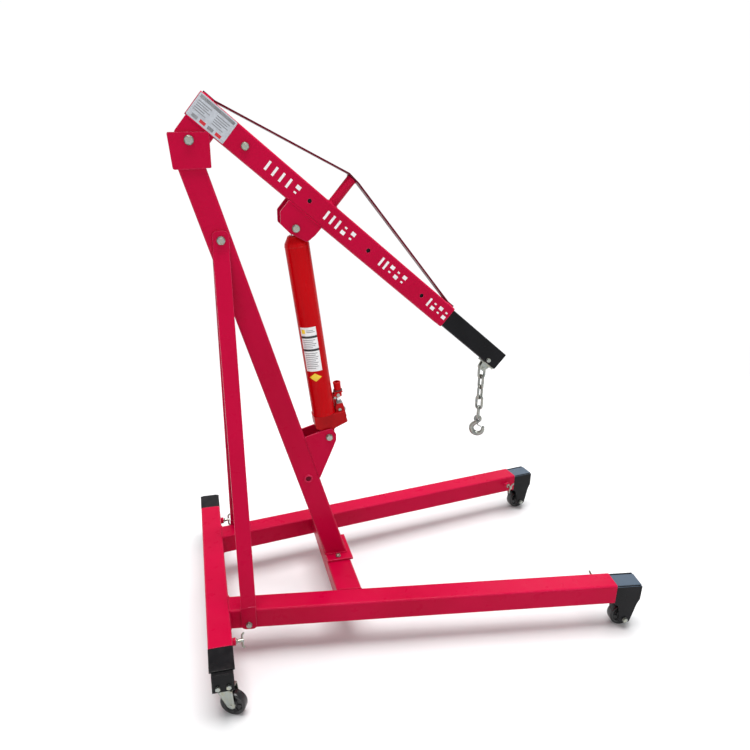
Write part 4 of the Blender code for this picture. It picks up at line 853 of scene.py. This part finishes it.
def link_piece(index):
    """One welded link; the flash of its weld swells one side."""
    middle = Vector((CHAIN_TOP.x, 0, FIRST_LINK_Z - index * LINK_PITCH))
    across = Vector((math.cos(index * LINK_TWIST), math.sin(index * LINK_TWIST), 0))
    straight = LINK_REACH - LINK_HALF_WIDTH
    bend = 15
    points = []
    for sign, inner in ((1, 0.15), (-1, 0.2)):
        for i in range(bend):
            a = math.pi * i / (bend - 1)
            points.append(middle + across * math.cos(a) * LINK_HALF_WIDTH * sign
                          + UP * (sign * (straight + math.sin(a) * LINK_HALF_WIDTH)))
        points += [middle - across * LINK_HALF_WIDTH * sign + UP * (straight * f * sign)
                   for f in (0.55, inner, -inner, -0.55)]
    last = len(points) - 1
    weld_at = bend + 1.5
    bm = bmesh.new()
    sweep(bm, points, lambda t: (WIRE - 0.00008) * (1 + 0.09 * math.exp(-((t * last - weld_at) / 0.9) ** 2)),
          16, True)
    piece(f"link_{index + 1}", bm, CHAIN_ZINC, "chain", 60.0, replaces=[f"chain_link_{index + 1}"])


def hook_pieces():
    """A forged eye hook that tapers to its point, and its sprung latch."""
    axis_angle = (LINK_COUNT - 1) * LINK_TWIST + math.pi / 2
    across = Vector((math.cos(axis_angle), math.sin(axis_angle), 0))
    eye_r, eye_wire, neck, bowl_r, stock = 0.0095, 0.0045, 0.0257, 0.0195, 0.0074
    eye = CROWN + UP * (WIRE + eye_wire + GAP - eye_r)
    bowl = eye - UP * (eye_r + neck)
    bm = bmesh.new()
    sweep(bm, [eye + across * c * eye_r + UP * s * eye_r for c, s in circle(40)], eye_wire - 0.0001, 18, True)
    keys = [(eye - UP * eye_r, 0.9), (eye - UP * (eye_r + 0.003) + across * 0.002, 0.95)]
    for i in range(13):
        a = math.radians(55 - 245 * i / 12)
        keys.append((bowl + across * math.cos(a) * bowl_r + UP * math.sin(a) * bowl_r,
                     1.0 + 0.25 * math.sin(math.pi * i / 12) - 0.25 * (i / 12) ** 2))
    keys.append((keys[-1][0] + UP * 0.006 - across * 0.003, 0.55))
    points, radii = [], []
    for i in range(len(keys) - 1):
        a, (b, thick), (c, next_thick), d = (keys[max(i - 1, 0)][0], keys[i], keys[i + 1],
                                             keys[min(i + 2, len(keys) - 1)][0])
        for t in (0.0, 0.25, 0.5, 0.75):
            points.append(0.5 * ((2 * b) + (c - a) * t + (2 * a - 5 * b + 4 * c - d) * t ** 2
                                 + (3 * b - a - 3 * c + d) * t ** 3))
            radii.append((thick + (next_thick - thick) * t) * stock)
    points.append(keys[-1][0])
    radii.append(keys[-1][1] * stock * 0.6)
    tube(bm, points, radii, 20)
    piece("forged_hook", bm, CHAIN_ZINC, "hook", 60.0, replaces=["hook"])

    start = bowl - across * 0.0005 + UP * 0.0135
    end = bowl - across * 0.014 + UP * 0.0075
    length = (end - start).length
    normal = across.cross(UP)
    direction = (end - start).normalized()
    face = normal.cross(direction)
    bm = bmesh.new()
    for s in (-1, 1):
        sweep(bm, [start + normal * s * 0.003 + direction * t * length + face * 0.0006 * math.sin(math.pi * t)
                   for t in (0.02, 0.2, 0.5, 0.8, 0.97)], 0.00075, 10)
    m = Matrix.Translation(start) @ Matrix((direction, normal, direction.cross(normal))).transposed().to_4x4()
    far = length * 0.0154 / 0.0158
    strip = [Vector(p) for p in ((0.0, -0.0026), (far, -0.0022), (far, 0.0022), (0.0, 0.0026))]
    plate(bm, strip, m, 0.0009, 0.0002)
    coil = [start + normal * (-0.003 + 0.006 * i / 60)
            + (face * math.cos(i * 0.75) + direction * math.sin(i * 0.75)) * 0.0009 for i in range(61)]
    sweep(bm, coil, 0.0004, 6)
    piece("safety_latch", bm, CHAIN_ZINC, "hook_latch", 45.0, replaces=["hook_latch"])


for index in range(LINK_COUNT):
    link_piece(index)
hook_pieces()


# ---- ram and pump details
def pin_end(bm, matrix, radius, high, low):
    lathe(bm, [(0.0, high), (radius - 0.0006, high), (radius, high - 0.0006), (radius, low), (0.0, low)],
          matrix, 24)


def ram_details():
    """The cylinder's rings and the wiper round its rod."""
    top = RAM_CLOSED - 0.024
    r = RAM_RADIUS
    bm = bmesh.new()
    lathe(bm, [(r - 0.001, top - 0.027), (r + 0.0004, top - 0.0274), (r + 0.0004, top - 0.03),
               (r - 0.001, top - 0.0304)], RAM, 64, closed=True)
    bead(bm, ram, [((r + 0.0002) * c, (r + 0.0002) * s, 0.0752) for c, s in circle(48)],
         0.0022, 21, closed=True)
    piece("cylinder_rings", bm, RAM_RED, "ram", 60.0)
    bm = bmesh.new()
    lathe(bm, [(ROD_RADIUS + 0.0008, top + 0.0002), (ROD_RADIUS + 0.0008, top + 0.0022), (0.0185, top + 0.0026),
               (0.0205, top + 0.0014), (0.0205, top + 0.0002)], RAM, 48, closed=True)
    piece("rod_wiper", bm, RAM_RED, "ram")


def pump_details():
    """The lever's pins, the socket's collar and lip, the pump block's plugs and the plunger's gland."""
    turn = RAM.to_3x3()
    socket = RAM @ shift(0.055, 0, 0)
    bm = bmesh.new()
    for side in (-1, 1):
        out = turn @ Vector((0, side, 0))
        pin_end(bm, axis_matrix(ram(0.0407, side * 0.0137, 0.1185), out), 0.004, 0.0012, -0.0012)
        pin_end(bm, axis_matrix(ram(0.052, side * 0.0147, 0.1255), out), 0.0056, 0.0014, -0.0022)
    piece("lever_pins", bm, ZINC, "pump_lever")
    bm = bmesh.new()
    lathe(bm, [(0.0113, 0.14), (0.014, 0.14), (0.0146, 0.1394), (0.0146, 0.1374), (0.0138, 0.1368),
               (0.0113, 0.1368)], socket, 40, closed=True)
    piece("socket_collar", bm, COLLAR, "pump_lever")
    bm = bmesh.new()
    lathe(bm, [(0.0114, 0.1655), (0.0123, 0.1652), (0.0123, 0.1612), (0.0114, 0.1608)], socket, 40, closed=True)
    piece("socket_lip", bm, RAM_RED, "pump_lever")
    bm = bmesh.new()
    plug = axis_matrix(ram(0.0655, 0, 0.07), turn @ Vector((1, 0, 0.13)))
    hex_head(bm, plug @ shift(0, 0, 0.0002), 0.0115, 0.0044)
    lathe(bm, [(0.0, 0.006), (0.003, 0.0058), (0.0036, 0.0044), (0.0, 0.004)], plug, 24)
    hex_head(bm, axis_matrix(ram(0.05, -0.0172, 0.078), turn @ Vector((0, -1, 0))), 0.0095, 0.0034)
    piece("pump_plugs", bm, ZINC, "ram", 30.0)
    bm = bmesh.new()
    box(bm, RAM @ shift(0.053, 0, 0.0988), (0.0185, 0.033, 0.0016), 0.0006)
    lathe(bm, [(0.0064, 0.1034), (0.0088, 0.1034), (0.0094, 0.1026), (0.0094, 0.099), (0.0064, 0.099)],
          RAM @ shift(0.052, 0, 0), 32, closed=True)
    piece("pump_gland", bm, CAST_GREY, "ram")


ram_details()
pump_details()


# ---- labels: plain panels with generic marks
def rows(x0, y0, widths):
    """Plain lines of small marks, set to the left."""
    return [(x0 + w / 2, y0 - i * 0.006, w, 0.0022, 1) for i, w in enumerate(widths)]


def jib_panel(name, side, turn):
    """A grey sticker by the jib's pivot: a bar, two columns of lines and a row of blocks."""
    place = BOOM @ shift(0.014, side * (TUBE / 2), BOOM_AXIS_V) @ turn
    marks = [(0.0, 0.0255, 0.104, 0.008, 1)] + rows(-0.05, 0.014, [0.04, 0.034, 0.042, 0.03, 0.037])
    marks += rows(0.006, 0.014, [0.04, 0.036, 0.041, 0.026, 0.034])
    marks += [(-0.036 + 0.024 * i, -0.024, 0.017, 0.0085, 2 if i % 2 else 1) for i in range(4)]
    bm = bmesh.new()
    w, h = 0.114 / 2, 0.066 / 2
    outline = rounded([(-w, -h), (w, -h), (w, h), (-w, h)], [0.003] * 4, 4)
    plate(bm, outline, place @ shift(0, 0, 0.0001), 0.0003, 0.0)
    for x, y, width, height, kind in marks:
        box(bm, place @ shift(x, y, 0.00027), (width, height, PRINT_THICK), 0.0, kind)
    piece("jib_panel_" + name, bm, [SILVER, INK_SOFT, INK_RED, YELLOW], "boom", 20.0)


def painted_marks(name, middle, width, bars, side, turn):
    """White bars and blocks sprayed straight on the enamel, one bar fewer at each lock hole."""
    m = BOOM @ shift(middle, side * (TUBE / 2), BOOM_AXIS_V) @ turn
    bm = bmesh.new()
    x = -width / 2
    blocks = [(0.007, 0.027)] * bars + [(0.014, 0.011)] * min(3, 5 - bars)
    gap = (width - sum(block[0] for block in blocks)) / (len(blocks) - 1)
    for i, (w, h) in enumerate(blocks):
        small = h < 0.02
        across = -side * (x + w / 2)
        y = (0.008, -0.008)[i % 2] if small else 0.0
        box(bm, m @ shift(across, y, 0.0001), (w, h, 0.0002))
        if small:
            box(bm, m @ shift(across, -y, 0.0001), (w * 0.55, h * 0.45, 0.0002))
        x += w + gap
    piece(name, bm, WHITE, "boom", 20.0)


for name, turn, side in (("right", SIDEWAYS, -1), ("left", Matrix.Rotation(math.pi, 4, "Z") @ SIDEWAYS, 1)):
    jib_panel(name, side, turn)
    for i, (middle, width) in enumerate(((0.244, 0.11), (0.448, 0.105), (0.656, 0.1), (0.847, 0.08))):
        painted_marks(f"reach_marks_{name}_{i + 1}", middle, width, 4 - i, side, turn)


def ram_sheet(bm, columns, lift, thick, kind=0):
    """A thin sheet on the ram's round side; each column is (angle, low, high)."""
    loops = []
    for angle, low, high in columns:
        corners = [(lift, low), (lift + thick, low), (lift + thick, high), (lift, high)]
        loops.append([ram((RAM_RADIUS + q) * math.cos(angle), (RAM_RADIUS + q) * math.sin(angle), z)
                      for q, z in corners])
    rings(bm, loops, False, kind)


def ram_panel():
    """A white sticker round the ram, with bars, lines and one yellow block."""
    angle, spread = math.radians(-111.5), math.radians(40.5)
    sheet = [(0.228, 0.368, -1.0, 1.0, 0)]
    stripes = [(0.334, 0.341, -1.0, 1.0, 1), (0.293, 0.3, -1.0, 1.0, 1)]
    stripes += [(0.327 - 0.0058 * i, 0.329 - 0.0058 * i, -0.82, end, 4)
                for i, end in enumerate((0.7, 0.45, 0.78, 0.6, 0.3))]
    stripes += [(0.285 - 0.006 * i, 0.2872 - 0.006 * i, -0.82, end, 4)
                for i, end in enumerate((0.72, 0.5, 0.76, 0.66, 0.4, 0.7, 0.55, 0.62, 0.3))]
    stripes += [(0.349, 0.362, -0.8, -0.35, 3), (0.352, 0.354, -0.2, 0.8, 4), (0.357, 0.359, -0.2, 0.62, 4)]
    bm = bmesh.new()
    for low, high, start, end, kind in sheet + stripes:
        a0, a1 = angle + spread * start, angle + spread * end
        columns = [(a0 + (a1 - a0) * i / 24, low, high) for i in range(25)]
        lift, thick = (0.0003, PRINT_THICK) if kind else (0.0001, STICKER_THICK)
        ram_sheet(bm, columns, lift, thick, kind)
    piece("ram_panel", bm, [WHITE, INK, INK_RED, YELLOW, INK_SOFT], "ram", 25.0)


def ram_diamond():
    """A plain yellow diamond on the ram's round side."""
    middle, angle, half_angle, half_height = 0.208, math.radians(-110.0), math.radians(31.0), 0.0135
    columns = []
    for i in range(25):
        across = -1 + 2 * i / 24
        h = max(half_height * (1 - abs(across)), 0.0002)
        columns.append((angle + half_angle * across, middle - h, middle + h))
    bm = bmesh.new()
    ram_sheet(bm, columns, 0.0001, STICKER_THICK)
    piece("ram_spot", bm, YELLOW, "ram", 25.0)


ram_panel()
ram_diamond()


# ---- weld nuts on the post and heads on the rear carriers
def post_boss(name, side):
    """A weld nut on the post's side, with its dark bore, whose dark red disc is painted shade."""
    m = axis_matrix(crane(post_x(BOSS_Z), side * TUBE / 2, BOSS_Z), (0, side, 0))
    bm = bmesh.new()
    lathe(bm, [(0.0088, 0.0002), (0.009, 0.0028), (0.0104, 0.004), (0.0122, 0.004), (0.0138, 0.0028),
               (0.0146, 0.0002)], m, 44, closed=True)
    piece("post_boss_" + name, bm, RED, "base")
    bm = bmesh.new()
    # painted shade: a dark red disc laid in the bore
    lathe(bm, [(0.0, 0.0008), (0.009, 0.0008), (0.009, 0.0001), (0.0, 0.0001)], m, 32)
    piece("post_boss_bore_shade_" + name, bm, RED_PAINTED_SHADE, "base")


def zinc_heads(carrier):
    """The bolt heads outside the carrier's end are zinc, the rest of it stays black."""
    carrier.data.materials.append(ZINC)
    for face in carrier.data.polygons:
        if abs((carrier.matrix_world @ face.center).y) > CARRIER_HALF + 0.0001:
            face.material_index = 1


for name, side in SIDES.items():
    post_boss(name, side)
    zinc_heads(NODES["rear_carrier_" + name])


# ---- studio
def stage_floor():
    """A pale floor that fades into an even glow away from the crane."""
    t = Tree("studio_floor")
    radius = t.new("VectorMath")
    radius.operation = "LENGTH"
    t.links.new(t.coords, radius.inputs[0])
    colour = t.mix(t.ramp(t.noise(1.3, 5.0), 0.3, 0.7), (0.7, 0.7, 0.705), (0.74, 0.74, 0.745))
    t.bumps(None, (t.noise(220.0, 3.0), 0.05, 0.0005))
    t.set(Base_Color=colour, Roughness=0.55)
    glow = t.new("Emission", Color=(0.96, 0.96, 0.97, 1.0), Strength=1.08)
    blend = t.new("MixShader")
    t.links.new(t.ramp(radius.outputs["Value"], 1.5, 4.6), blend.inputs[0])
    t.links.new(t.shader.outputs[0], blend.inputs[1])
    t.links.new(glow.outputs[0], blend.inputs[2])
    t.links.new(blend.outputs[0], t.nodes["Material Output"].inputs["Surface"])
    bm = bmesh.new()
    bmesh.ops.create_circle(bm, cap_ends=True, segments=96, radius=60.0)
    mesh = bpy.data.meshes.new("studio_floor")
    bm.to_mesh(mesh)
    bm.free()
    mesh.materials.append(t.mat)
    add("studio_floor", mesh)


def area_light(name, location, target, size, power):
    data = bpy.data.lights.new(name, "AREA")
    data.shape = "RECTANGLE"
    data.size, data.size_y = size
    data.energy = power
    add(name, data).matrix_world = axis_matrix(location, Vector(location) - Vector(target))


def studio():
    """Bright low walls all round under a dimmer ceiling, one large overhead light and two weak ones."""
    world = bpy.data.worlds.new("studio")
    bpy.context.scene.world = world
    world.use_nodes = True
    nodes, links = world.node_tree.nodes, world.node_tree.links
    back = nodes["Background"]
    back.inputs["Color"].default_value = (0.96, 0.96, 0.97, 1.0)
    coords = nodes.new("ShaderNodeTexCoord")
    split = nodes.new("ShaderNodeSeparateXYZ")
    links.new(coords.outputs["Generated"], split.inputs[0])
    fall = nodes.new("ShaderNodeMapRange")
    fall.interpolation_type = "SMOOTHSTEP"
    links.new(split.outputs["Z"], fall.inputs["Value"])
    for key, number in zip(("From Min", "From Max", "To Min", "To Max"), (0.2, 0.55, 1.05, 0.5)):
        fall.inputs[key].default_value = number
    links.new(fall.outputs["Result"], back.inputs["Strength"])
    stage_floor()
    area_light("overhead", (-0.1, 0.1, 6.2), (-0.1, 0.1, 0.0), (4.6, 4.2), 540.0)
    area_light("key", (-2.4, -2.6, 2.9), (0.0, 0.0, 0.7), (1.6, 1.6), 6.0)
    area_light("rim", (2.2, 2.4, 2.4), (0.0, 0.0, 0.8), (1.6, 1.2), 12.0)


def camera():
    data = bpy.data.cameras.new("camera")
    data.sensor_width = 36.0
    data.lens = 30.98
    data.shift_x = 0.033
    data.shift_y = 0.013
    data.clip_end = 200.0
    obj = add("camera", data)
    yaw, pitch, roll = math.radians(13.52), math.radians(21.34), math.radians(0.19)
    turn = Matrix.Rotation(-yaw, 4, "Z") @ Matrix.Rotation(math.pi / 2 - pitch, 4, "X")
    turn = turn @ Matrix.Rotation(roll, 4, "Z")
    obj.matrix_world = shift(0.021 - FRAME_X, -1.845, 1.525) @ turn
    bpy.context.scene.camera = obj


studio()
camera()
bpy.context.scene.view_settings.view_transform = "Standard"
bpy.context.scene.view_settings.look = "None"
